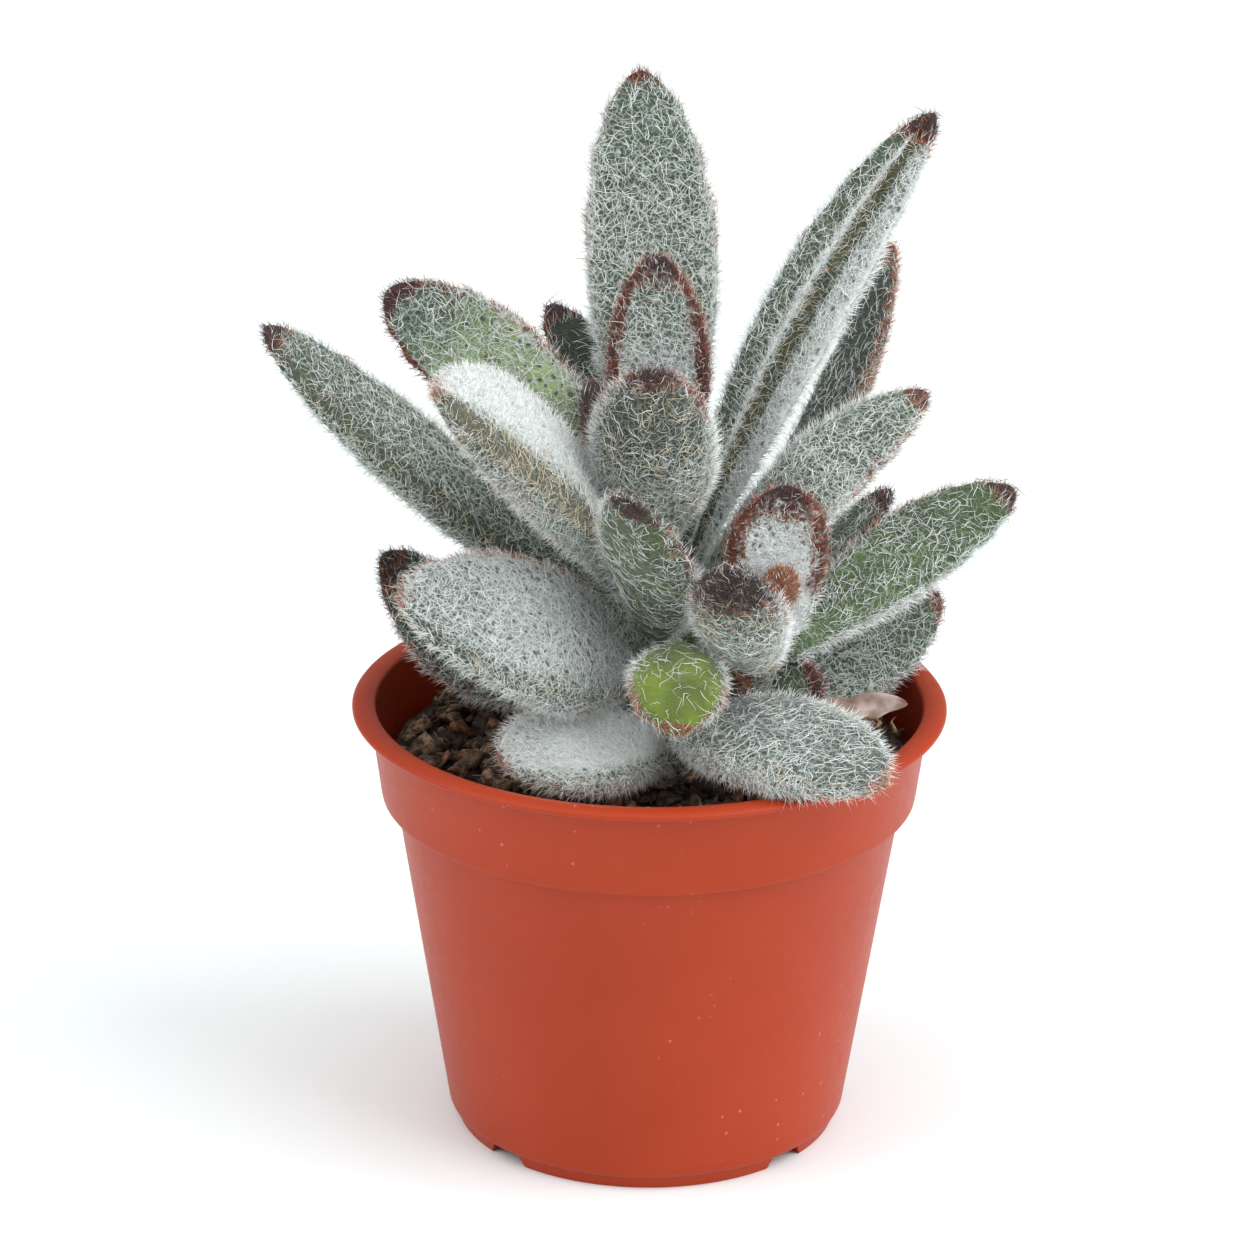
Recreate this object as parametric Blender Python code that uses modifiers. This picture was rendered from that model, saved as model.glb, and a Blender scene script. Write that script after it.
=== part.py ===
import math
import random

import bmesh
import bpy
from mathutils import Matrix, Vector

# A panda plant in its nursery pot. Metres, +Z up, the front towards -Y, and the pot's axis on Z.
MM = 0.001
GAP = 0.3  # between pieces that touch

# Pot, in millimetres.
RIM_R = 52.5
RIM_TOP = 79.3
COLLAR_TOP_R = 49.3
COLLAR_LOW_R = 47.4
COLLAR_LOW = 61.9
BODY_TOP_R = 44.8
BODY_LOW_R = 35.7
WALL = 1.1
FOOT_R = 34.3
FOOT_HIGH = 2.3
FLOOR_UNDER = 3.6
FLOOR_TOP = 5.2
POT_STEPS = 48
NOTCH_AT = (46, 134, -134, -46)  # degrees from the front
NOTCH_WIDE = 9.0
DRAINS = 6
DRAIN_R = 2.6
DRAIN_AT = 21.0

# Soil, in millimetres.
SOIL_TOP = 69.5
CHIPS = 66
CHIP_LONG = (5.0, 9.5)
CHIP_THICK = (2.2, 3.6)
SEED = 11

# Shoots: foot (x, y), head (x, y, z), foot radius, head radius, depth of the foot below the soil's top.
SHOOTS = {
    "main": ((1.0, 3.0), (1.5, 4.0, 124.0), 4.6, 3.0, 24.0),
    "offset": ((14.0, -4.0), (22.0, -15.5, 98.0), 3.0, 2.2, 14.0),
    "front": ((5.0, -12.5), (5.0, -18.0, 97.0), 2.2, 2.0, 12.0),
}

# One row a leaf, in millimetres and degrees. high: where it leaves its shoot. turn: the way it
# points, from the front round to the right. reach and rise: from there to its tip, outwards and
# upwards. bow: how far its middle is lifted towards its upper face. sweep: how far its middle is
# pushed to its left. roll: turn about its own length. cup: how far the margins stand up, as a part
# of the half width. widest: where along its length. toothed: blunt teeth towards the tip.
# neck: width at its root, as a part of the full width.
# name, shoot, high, turn, reach, rise, width, thick, bow, sweep, roll, cup, widest, neck, toothed
LEAVES = (
    ("tall", "main", 112, -172, 24.0, 73.0, 22.8, 5.0, -1.0, -1.0, -4, 0.15, 0.56, 0.42, True),
    ("right_tall", "main", 102, 119, 50.8, 76.0, 14.0, 6.0, 3.5, 2.3, 38, 0.40, 0.55, 0.36, True),
    ("right_back", "main", 91, 133, 52.8, 59.7, 14.4, 5.0, -6.0, -2.0, -14, 0.15, 0.60, 0.38, True),
    ("right_mid", "main", 93, 93, 42.5, 41.5, 15.0, 6.5, 8.0, -2.0, 40, 0.15, 0.60, 0.38, True),
    ("right_low", "offset", 91.6, 125, 51.4, 21.0, 14.8, 5.0, 0.3, 1.8, 39, 0.10, 0.55, 0.30, True),
    ("right_under", "main", 81, 110, 49.9, 9.6, 21.5, 5.5, -0.5, -3.5, 50, 0.10, 0.55, 0.36, True),
    ("right_small", "main", 86.5, 112, 40.5, 25.0, 12.5, 5.0, -1.5, -0.7, 0, 0.10, 0.60, 0.34, True),
    ("left_up", "main", 112, -102, 45.1, 38.0, 19.0, 5.0, 1.0, -3.0, -80, 0.10, 0.62, 0.36, True),
    ("left_white", "main", 102, -45, 49.0, 46.0, 21.0, 10.0, 0.0, -4.5, -54, 0.10, 0.55, 0.34, False),
    ("left_long", "main", 92, -86, 64.0, 55.8, 17.0, 6.5, -2.5, -0.8, -33, 0.10, 0.55, 0.38, True),
    ("left_big", "main", 84, -57, 48.5, 24.2, 27.0, 6.5, 8.5, 4.0, -50, 0.05, 0.50, 0.36, True),
    ("left_low", "main", 79, -100, 45.0, 22.2, 20.5, 5.5, -6.0, 3.0, -33, 0.10, 0.55, 0.36, True),
    ("back_small", "main", 101, -145, 30.0, 41.0, 13.4, 4.5, 3.5, -2.5, -8, 0.10, 0.60, 0.36, True),
    ("heart_back", "main", 121, -173, 2.7, 37.0, 18.0, 4.5, 5.0, -1.5, -18, 0.25, 0.45, 0.45, False),
    ("heart_front", "main", 111, -5, 16.2, 34.5, 20.9, 9.0, 0.5, 0.0, 3, 0.20, 0.45, 0.38, False),
    ("heart_left", "main", 119, -73, 9.8, 18.7, 10.3, 4.5, 0.0, 1.0, -50, 0.20, 0.45, 0.45, False),
    ("front_green", "main", 93, -8, 33.5, 35.6, 18.7, 5.0, 0.0, 1.8, -26, 0.10, 0.50, 0.36, False),
    ("offset_back", "offset", 95, 162, 3.0, 27.5, 17.6, 4.5, 1.5, 1.5, 28, 0.20, 0.60, 0.38, False),
    ("offset_front", "offset", 94, -22, 18.7, 22.0, 15.7, 9.0, -2.0, 0.0, 5, 0.10, 0.60, 0.36, False),
    ("front_droop", "front", 96, -2, 21.0, -6.5, 16.0, 7.0, 2.2, 0.0, -3, 0.10, 0.55, 0.38, False),
    ("side", "offset", 82, 72, 10.2, 5.6, 9.3, 5.0, 0.0, 1.5, 55, 0.10, 0.60, 0.42, False),
    ("low_left", "front", 76.6, -62, 32.0, 3.0, 20.5, 8.5, 2.3, 2.5, -20, 0.10, 0.60, 0.55, False),
    ("low_right", "front", 81, 48, 43.5, 1.0, 24.0, 8.5, 2.5, -1.5, 12, 0.10, 0.50, 0.55, True),
    ("dry", "main", 72.5, 89, 40.0, 5.0, 7.4, 1.5, 1.9, -2.2, 30, 0.55, 0.60, 0.60, False),
    ("rear_mid", "main", 97, 176, 36.0, 8.0, 18.0, 5.5, 3.0, 0.0, 0, 0.12, 0.60, 0.36, True),
    ("rear_right", "main", 82, 160, 38.0, 11.0, 18.0, 5.5, 3.0, 0.0, 0, 0.12, 0.60, 0.36, True),
    ("rear_left", "main", 86, -134, 37.0, 11.0, 18.0, 5.5, 3.0, 0.0, 0, 0.12, 0.60, 0.36, True),
    ("rear_low", "main", 76, 170, 36.0, 3.0, 15.0, 5.0, 1.0, 0.0, 0, 0.08, 0.60, 0.36, True),
    ("rear_low_left", "main", 76, -144, 37.0, 5.0, 15.0, 5.0, 1.0, 0.0, 0, 0.08, 0.60, 0.36, True),
)

# Where the rings of a leaf lie along its length, and how far each tooth stands out of the margin.
RINGS = (0.0, 0.012, 0.05, 0.13, 0.24, 0.36, 0.48, 0.59, 0.68, 0.745, 0.81, 0.865, 0.915, 0.96, 0.99, 1.0)
TEETH = (0, 0, 0, 0, 0, 0, 0, 0, 0.05, -0.04, 0.06, -0.05, 0.07, -0.04, 0, 0)
LEAF_SIDES = 10


def reset():
    for obj in list(bpy.data.objects):
        bpy.data.objects.remove(obj)


def collection(name, cutters=False):
    made = bpy.data.collections.new(name)
    bpy.context.scene.collection.children.link(made)
    made.hide_render = cutters
    return made


def material(name, colour, rough):
    made = bpy.data.materials.new(name)
    made.use_nodes = True
    shader = made.node_tree.nodes["Principled BSDF"]
    shader.inputs["Base Color"].default_value = (*colour, 1)
    shader.inputs["Roughness"].default_value = rough
    return made


def keep(name, bm, where, paint=None):
    mesh = bpy.data.meshes.new(name)
    bm.to_mesh(mesh)
    bm.free()
    obj = bpy.data.objects.new(name, mesh)
    where.objects.link(obj)
    if paint:
        mesh.materials.append(paint)
    else:
        obj.hide_render = True
        obj.display_type = "WIRE"
    return obj


def smooth(obj, degrees=40):
    obj.data.shade_smooth()
    obj.data.set_sharp_from_angle(angle=math.radians(degrees))


def apply_modifiers(obj):
    graph = bpy.context.evaluated_depsgraph_get()
    mesh = bpy.data.meshes.new_from_object(obj.evaluated_get(graph))
    obj.modifiers.clear()
    obj.data = mesh


def shoot_at(shoot, high):
    """Centre of the shoot at this height, and its radius there."""
    foot, head, foot_r, head_r, _ = SHOOTS[shoot]
    k = (high - SOIL_TOP) / (head[2] - SOIL_TOP)
    centre = Vector((foot[0] + k * (head[0] - foot[0]), foot[1] + k * (head[1] - foot[1]), high))
    return centre, foot_r + k * (head_r - foot_r)


def half_width(u, widest, neck):
    if u < widest:
        side = neck + (1 - neck) * math.sin(math.pi / 2 * u / widest) ** 1.4
        return side * min(1, (0.35 + u / 0.03))
    return (1 - ((u - widest) / (1 - widest)) ** 2.2) ** 0.6 if u < 1 else 0


def half_thick(u):
    return (0.72 + 0.28 * math.sin(math.pi * min(1, u / 0.8))) * min(1, 0.45 + u / 0.03) * (1 - u ** 5) ** 0.5


def leaf(name, shoot, high, turn, reach, rise, width, thick, bow, sweep, roll, cup, widest, neck, toothed, where, paint):
    centre, shoot_r = shoot_at(shoot, high)
    out = Vector((math.sin(math.radians(turn)), -math.cos(math.radians(turn)), 0))
    # A steep root stands further out, so that its upper face clears the shoot.
    steep = math.atan2(rise, reach) + math.atan2(4 * bow * math.cos(math.radians(roll)), math.hypot(reach, rise))
    push = 0.45 * thick * max(0, math.sin(steep))
    root = centre + out * (shoot_r + GAP + push)
    chord = out * (reach - push) + Vector((0, 0, rise))
    along = chord.normalized()
    face = (Vector((0, 0, 1)) * along.dot(out) - out * along.z).normalized()
    face = Matrix.Rotation(math.radians(roll), 3, along) @ face
    side = face.cross(along)
    bm = bmesh.new()
    bmesh.ops.create_uvsphere(bm, u_segments=LEAF_SIDES, v_segments=len(RINGS) - 1, radius=1)
    for vert in bm.verts:
        x, y, z = vert.co
        ring = round((len(RINGS) - 1) * (1 - math.acos(max(-1, min(1, z))) / math.pi))
        u = RINGS[ring]
        round_r = math.hypot(x, y)
        c, s = (x / round_r, y / round_r) if round_r > 1e-6 else (0, 0)
        wide = width / 2 * half_width(u, widest, neck)
        if toothed and abs(c) > 0.95:
            wide *= 1 + TEETH[ring]
        lift = thick / 2 * half_thick(u) * math.copysign(abs(s) ** 0.8, s)
        lift += cup * wide * (c * c - 0.4)
        lean = 4 * u * (1 - u)
        vert.co = (root + chord * u + face * (bow * lean + lift) + side * (sweep * lean + wide * c)) * MM
    obj = keep("leaf_" + name, bm, where, paint)
    smooth(obj)
    return obj


def bud(name, at, radius, tall, where, paint):
    bm = bmesh.new()
    bmesh.ops.create_uvsphere(bm, u_segments=8, v_segments=6, radius=radius * MM)
    bmesh.ops.scale(bm, vec=(1, 1, tall), verts=bm.verts)
    bmesh.ops.translate(bm, vec=Vector(at) * MM, verts=bm.verts)
    obj = keep(name, bm, where, paint)
    smooth(obj)
    return obj


def stem(name, shoot, where, paint):
    """A tapering round stem from below the soil's top to the shoot's head."""
    foot, head, foot_r, head_r, depth = SHOOTS[shoot]
    bm = bmesh.new()
    rings = []
    heights = [(SOIL_TOP - depth, foot_r * 0.8), (SOIL_TOP - depth + 1, foot_r), (SOIL_TOP, foot_r)]
    heights += [(SOIL_TOP + (head[2] - SOIL_TOP) * k, foot_r + k * (head_r - foot_r)) for k in (0.25, 0.5, 0.75, 0.97)]
    heights += [(head[2], head_r * 0.6)]
    for high, r in heights:
        k = max(0, (high - SOIL_TOP) / (head[2] - SOIL_TOP))
        x, y = foot[0] + k * (head[0] - foot[0]), foot[1] + k * (head[1] - foot[1])
        rings.append(
            [
                bm.verts.new(Vector((x + r * math.cos(a * math.pi / 6), y + r * math.sin(a * math.pi / 6), high)) * MM)
                for a in range(12)
            ]
        )
    for low, top in zip(rings, rings[1:]):
        for i in range(12):
            bm.faces.new((low[i], low[(i + 1) % 12], top[(i + 1) % 12], top[i]))
    bm.faces.new(rings[0][::-1])
    bm.faces.new(rings[-1])
    obj = keep(name, bm, where, paint)
    smooth(obj, 50)
    return obj


def pot(where, helpers, paint):
    profile = [
        (48.3, 78.7), (48.8, 79.2), (50.4, RIM_TOP + 0.1), (51.8, RIM_TOP - 0.1), (RIM_R, 78.7),
        (RIM_R - 0.1, 78.1), (51.8, 77.8), (50.1, 77.6), (COLLAR_TOP_R, 76.9),
        (COLLAR_LOW_R + 0.1, COLLAR_LOW + 1.2), (COLLAR_LOW_R - 0.2, COLLAR_LOW + 0.3), (COLLAR_LOW_R - 0.8, COLLAR_LOW),
        (BODY_TOP_R + 0.5, COLLAR_LOW - 0.1), (BODY_TOP_R, COLLAR_LOW - 0.6),
        (BODY_LOW_R + 0.1, 3.3), (BODY_LOW_R - 0.2, 2.6), (FOOT_R + 0.3, FOOT_HIGH),
        (FOOT_R, 0.3), (FOOT_R - 0.3, 0), (FOOT_R - 1.2, 0), (FOOT_R - 1.5, FLOOR_UNDER), (0, FLOOR_UNDER),
    ]
    inside = [
        (0, FLOOR_TOP), (BODY_LOW_R - 1.9, FLOOR_TOP), (BODY_LOW_R - 0.9, FLOOR_TOP + 1.2),
        (BODY_TOP_R - WALL, COLLAR_LOW - 0.9), (BODY_TOP_R - WALL + 0.4, COLLAR_LOW + 0.5), (COLLAR_LOW_R - WALL, COLLAR_LOW + 1.4),
        (COLLAR_TOP_R - WALL, 76.9),
    ]
    # The turned line is open at the axis, where its two ends meet the floor's two faces.
    ordered = inside[1:] + profile
    bm = bmesh.new()
    points = [bm.verts.new((r * MM, 0, z * MM)) for r, z in [inside[0]] + ordered]
    for a, b in zip(points, points[1:]):
        bm.edges.new((a, b))
    obj = keep("pot", bm, where, paint)
    screw = obj.modifiers.new("turn", "SCREW")
    screw.axis = "Z"
    screw.steps = screw.render_steps = POT_STEPS
    screw.use_merge_vertices = True
    screw.merge_threshold = 1e-5
    for i, at in enumerate(NOTCH_AT):
        bm = bmesh.new()
        bmesh.ops.create_cube(bm, size=1)
        for vert in bm.verts:
            wide = NOTCH_WIDE * (1.15 if vert.co.z < 0 else 0.7)
            vert.co = Vector((vert.co.x * wide, vert.co.y * 6, vert.co.z * 4.0 + 0.25)) * MM
            vert.co.y -= (FOOT_R - 1) * MM
        bmesh.ops.rotate(bm, cent=(0, 0, 0), matrix=Matrix.Rotation(math.radians(at), 3, "Z"), verts=bm.verts)
        cutter = keep(f"notch_{i}", bm, helpers)
        cut = obj.modifiers.new(f"notch_{i}", "BOOLEAN")
        cut.operation, cut.solver, cut.object = "DIFFERENCE", "EXACT", cutter
    for i in range(DRAINS):
        bm = bmesh.new()
        bmesh.ops.create_cone(bm, cap_ends=True, segments=12, radius1=DRAIN_R * MM, radius2=DRAIN_R * MM, depth=6 * MM)
        a = math.radians(17 + 360 / DRAINS * i)
        bmesh.ops.translate(bm, vec=Vector((DRAIN_AT * math.sin(a), -DRAIN_AT * math.cos(a), 4.4)) * MM, verts=bm.verts)
        cutter = keep(f"drain_{i}", bm, helpers)
        cut = obj.modifiers.new(f"drain_{i}", "BOOLEAN")
        cut.operation, cut.solver, cut.object = "DIFFERENCE", "EXACT", cutter
    obj.data.shade_smooth()
    return obj


def chip(rng, at, high):
    """One bark chip: a box with knocked corners, turned any way."""
    bm = bmesh.new()
    bmesh.ops.create_cube(bm, size=1)
    long, thick = rng.uniform(*CHIP_LONG), rng.uniform(*CHIP_THICK)
    wide = long * rng.uniform(0.45, 0.7)
    for vert in bm.verts:
        vert.co = Vector((
            vert.co.x * long * rng.uniform(0.7, 1.05),
            vert.co.y * wide * rng.uniform(0.65, 1.05),
            vert.co.z * thick * rng.uniform(0.7, 1.1),
        ))
    turn = Matrix.Rotation(rng.uniform(0, math.tau), 3, "Z")
    tip = Matrix.Rotation(rng.gauss(0, 0.35), 3, "X") @ Matrix.Rotation(rng.gauss(0, 0.3), 3, "Y")
    bmesh.ops.rotate(bm, cent=(0, 0, 0), matrix=turn @ tip, verts=bm.verts)
    bmesh.ops.translate(bm, vec=(at[0], at[1], high), verts=bm.verts)
    bmesh.ops.scale(bm, vec=(MM, MM, MM), verts=bm.verts)
    return bm


def soil(where, helpers, paint):
    wall = 0.6
    body = [
        (0, SOIL_TOP + 0.6), (14, SOIL_TOP + 0.4), (30, SOIL_TOP - 0.2), (41, SOIL_TOP - 0.8), (46.2, SOIL_TOP - 0.6),
        (COLLAR_LOW_R - WALL - wall, COLLAR_LOW + 2.1), (BODY_TOP_R - WALL - wall + 0.3, COLLAR_LOW + 1.2),
        (BODY_TOP_R - WALL - wall, COLLAR_LOW - 1.2),
        (BODY_LOW_R - WALL - wall + 0.1, FLOOR_TOP + 2.0), (BODY_LOW_R - 3.2, FLOOR_TOP + GAP), (0, FLOOR_TOP + GAP),
    ]
    bm = bmesh.new()
    points = [bm.verts.new((r * MM, 0, z * MM)) for r, z in body]
    for a, b in zip(points, points[1:]):
        bm.edges.new((a, b))
    obj = keep("soil", bm, where, paint)
    screw = obj.modifiers.new("turn", "SCREW")
    screw.axis = "Z"
    screw.steps = screw.render_steps = 28
    screw.use_merge_vertices = True
    screw.merge_threshold = 1e-5
    rng = random.Random(SEED)
    chips = bpy.data.collections.new("chips")
    bpy.context.scene.collection.children.link(chips)
    chips.hide_render = True
    placed = []
    tries = 0
    while len(placed) < CHIPS and tries < 4000:
        tries += 1
        a, r = rng.uniform(0, math.tau), 41.5 * math.sqrt(rng.uniform(0.05, 1))
        at = (r * math.sin(a), -r * math.cos(a))
        if any(math.dist(at, foot) < foot_r + 6.5 for foot, _, foot_r, _, _ in SHOOTS.values()):
            continue
        if any(math.dist(at, other) < 4.6 for other in placed):
            continue
        placed.append(at)
        keep(f"chip_{len(placed)}", chip(rng, at, SOIL_TOP + rng.uniform(-0.3, 0.9)), chips)
    join = obj.modifiers.new("chips", "BOOLEAN")
    join.operation, join.solver, join.operand_type, join.collection = "UNION", "EXACT", "COLLECTION", chips
    apply_modifiers(obj)
    for extra in list(chips.objects):
        bpy.data.objects.remove(extra)
    bpy.data.collections.remove(chips)
    for name, (foot, _, foot_r, _, depth) in SHOOTS.items():
        bm = bmesh.new()
        bmesh.ops.create_cone(
            bm, cap_ends=True, segments=16, radius1=(foot_r + 0.45) * MM, radius2=(foot_r + 0.45) * MM, depth=(depth + 10) * MM
        )
        middle = SOIL_TOP - depth - GAP + (depth + 10) / 2
        bmesh.ops.translate(bm, vec=Vector((foot[0], foot[1], middle)) * MM, verts=bm.verts)
        cutter = keep(f"hole_{name}", bm, helpers)
        cut = obj.modifiers.new(f"hole_{name}", "BOOLEAN")
        cut.operation, cut.solver, cut.object = "DIFFERENCE", "EXACT", cutter
    return obj


def build():
    reset()
    plant = collection("panda_plant")
    helpers = collection("cutters", cutters=True)
    pot(plant, helpers, material("pot_plastic", (0.55, 0.12, 0.05), 0.45))
    soil(plant, helpers, material("soil_bark", (0.03, 0.02, 0.014), 0.9))
    for shoot in SHOOTS:
        stem(f"stem_{shoot}", shoot, plant, material(f"stem_{shoot}", (0.30, 0.33, 0.22), 0.8))
    for row in LEAVES:
        leaf(*row, plant, material(f"leaf_{row[0]}", (0.36, 0.45, 0.36), 0.85))
    bud("bud_offset", (22.3, -17.6, 107.0), 3.0, 1.15, plant, material("bud_offset", (0.45, 0.14, 0.04), 0.85))
    bud("bud_side", (15.0, -14.0, 87.8), 2.1, 1.2, plant, material("bud_side", (0.30, 0.10, 0.05), 0.85))


build()
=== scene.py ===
import math

import bpy
import numpy as np
from bpy.props import FloatProperty, FloatVectorProperty, IntProperty, PointerProperty
from mathutils import Matrix, Vector, noise


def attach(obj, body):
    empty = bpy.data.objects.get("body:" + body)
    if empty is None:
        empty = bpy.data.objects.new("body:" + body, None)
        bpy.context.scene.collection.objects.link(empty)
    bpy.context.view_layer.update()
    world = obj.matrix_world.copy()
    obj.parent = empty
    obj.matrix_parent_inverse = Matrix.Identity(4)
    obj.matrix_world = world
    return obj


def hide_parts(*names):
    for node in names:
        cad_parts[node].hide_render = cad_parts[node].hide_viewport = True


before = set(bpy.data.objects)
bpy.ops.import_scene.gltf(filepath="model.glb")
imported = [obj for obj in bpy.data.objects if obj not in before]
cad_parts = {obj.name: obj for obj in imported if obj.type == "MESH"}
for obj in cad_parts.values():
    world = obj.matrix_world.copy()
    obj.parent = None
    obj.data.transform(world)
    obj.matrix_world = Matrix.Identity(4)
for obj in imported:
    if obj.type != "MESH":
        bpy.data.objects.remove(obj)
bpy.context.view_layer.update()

bl_info = {
    "name": "Potted Panda Plant",
    "version": (1, 0, 0),
    "blender": (4, 5, 0),
    "location": "View3D > Sidebar > Panda Plant",
    "description": "Felted leaves, their hairs, the nursery pot, its bark soil and a pale studio",
    "category": "Object",
}

MM = 0.001
GAP = 0.3
SOIL_TOP = 69.5

# Shoots: foot (x, y), head (x, y, z), foot radius, head radius, depth of the foot below the soil's top.
SHOOTS = {
    "main": ((1.0, 3.0), (1.5, 4.0, 124.0), 4.6, 3.0, 24.0),
    "offset": ((14.0, -4.0), (22.0, -15.5, 98.0), 3.0, 2.2, 14.0),
    "front": ((5.0, -12.5), (5.0, -18.0, 97.0), 2.2, 2.0, 12.0),
}

# One row a leaf, in millimetres and degrees, as the solid frame has them: shoot, height on the shoot,
# turn from the front, reach and rise of the tip, width, thickness, bow, sweep, roll, cup, widest, neck, toothed.
LEAVES = {
    "tall": ("main", 112, -172, 24.0, 73.0, 22.8, 5.0, -1.0, -1.0, -4, 0.15, 0.56, 0.42, True),
    "right_tall": ("main", 102, 119, 50.8, 76.0, 14.0, 6.0, 3.5, 2.3, 38, 0.40, 0.55, 0.36, True),
    "right_back": ("main", 91, 133, 52.8, 59.7, 14.4, 5.0, -6.0, -2.0, -14, 0.15, 0.60, 0.38, True),
    "right_mid": ("main", 93, 93, 42.5, 41.5, 15.0, 6.5, 8.0, -2.0, 40, 0.15, 0.60, 0.38, True),
    "right_low": ("offset", 91.6, 125, 51.4, 21.0, 14.8, 5.0, 0.3, 1.8, 39, 0.10, 0.55, 0.30, True),
    "right_under": ("main", 81, 110, 49.9, 9.6, 21.5, 5.5, -0.5, -3.5, 50, 0.10, 0.55, 0.36, True),
    "right_small": ("main", 86.5, 112, 40.5, 25.0, 12.5, 5.0, -1.5, -0.7, 0, 0.10, 0.60, 0.34, True),
    "left_up": ("main", 112, -102, 45.1, 38.0, 19.0, 5.0, 1.0, -3.0, -80, 0.10, 0.62, 0.36, True),
    "left_white": ("main", 102, -45, 49.0, 46.0, 21.0, 10.0, 0.0, -4.5, -54, 0.10, 0.55, 0.34, False),
    "left_long": ("main", 92, -86, 64.0, 55.8, 17.0, 6.5, -2.5, -0.8, -33, 0.10, 0.55, 0.38, True),
    "left_big": ("main", 84, -57, 48.5, 24.2, 27.0, 6.5, 8.5, 4.0, -50, 0.05, 0.50, 0.36, True),
    "left_low": ("main", 79, -100, 45.0, 22.2, 20.5, 5.5, -6.0, 3.0, -33, 0.10, 0.55, 0.36, True),
    "back_small": ("main", 101, -145, 30.0, 41.0, 13.4, 4.5, 3.5, -2.5, -8, 0.10, 0.60, 0.36, True),
    "heart_back": ("main", 121, -173, 2.7, 37.0, 18.0, 4.5, 5.0, -1.5, -18, 0.25, 0.45, 0.45, False),
    "heart_front": ("main", 111, -5, 16.2, 34.5, 20.9, 9.0, 0.5, 0.0, 3, 0.20, 0.45, 0.38, False),
    "heart_left": ("main", 119, -73, 9.8, 18.7, 10.3, 4.5, 0.0, 1.0, -50, 0.20, 0.45, 0.45, False),
    "front_green": ("main", 93, -8, 33.5, 35.6, 18.7, 5.0, 0.0, 1.8, -26, 0.10, 0.50, 0.36, False),
    "offset_back": ("offset", 95, 162, 3.0, 27.5, 17.6, 4.5, 1.5, 1.5, 28, 0.20, 0.60, 0.38, False),
    "offset_front": ("offset", 94, -22, 18.7, 22.0, 15.7, 9.0, -2.0, 0.0, 5, 0.10, 0.60, 0.36, False),
    "front_droop": ("front", 96, -2, 21.0, -6.5, 16.0, 7.0, 2.2, 0.0, -3, 0.10, 0.55, 0.38, False),
    "side": ("offset", 82, 72, 10.2, 5.6, 9.3, 5.0, 0.0, 1.5, 55, 0.10, 0.60, 0.42, False),
    "low_left": ("front", 76.6, -62, 32.0, 3.0, 20.5, 8.5, 2.3, 2.5, -20, 0.10, 0.60, 0.55, False),
    "low_right": ("front", 81, 48, 43.5, 1.0, 24.0, 8.5, 2.5, -1.5, 12, 0.10, 0.50, 0.55, True),
    "dry": ("main", 72.5, 89, 40.0, 5.0, 7.4, 1.5, 1.9, -2.2, 30, 0.55, 0.60, 0.60, False),
    "rear_mid": ("main", 97, 176, 36.0, 8.0, 18.0, 5.5, 3.0, 0.0, 0, 0.12, 0.60, 0.36, True),
    "rear_right": ("main", 82, 160, 38.0, 11.0, 18.0, 5.5, 3.0, 0.0, 0, 0.12, 0.60, 0.36, True),
    "rear_left": ("main", 86, -134, 37.0, 11.0, 18.0, 5.5, 3.0, 0.0, 0, 0.12, 0.60, 0.36, True),
    "rear_low": ("main", 76, 170, 36.0, 3.0, 15.0, 5.0, 1.0, 0.0, 0, 0.08, 0.60, 0.36, True),
    "rear_low_left": ("main", 76, -144, 37.0, 5.0, 15.0, 5.0, 1.0, 0.0, 0, 0.08, 0.60, 0.36, True),
}
RINGS = (0.0, 0.012, 0.05, 0.13, 0.24, 0.36, 0.48, 0.59, 0.68, 0.745, 0.81, 0.865, 0.915, 0.96, 0.99, 1.0)
TEETH = (0, 0, 0, 0, 0, 0, 0, 0, 0.05, -0.04, 0.06, -0.05, 0.07, -0.04, 0, 0)

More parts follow.
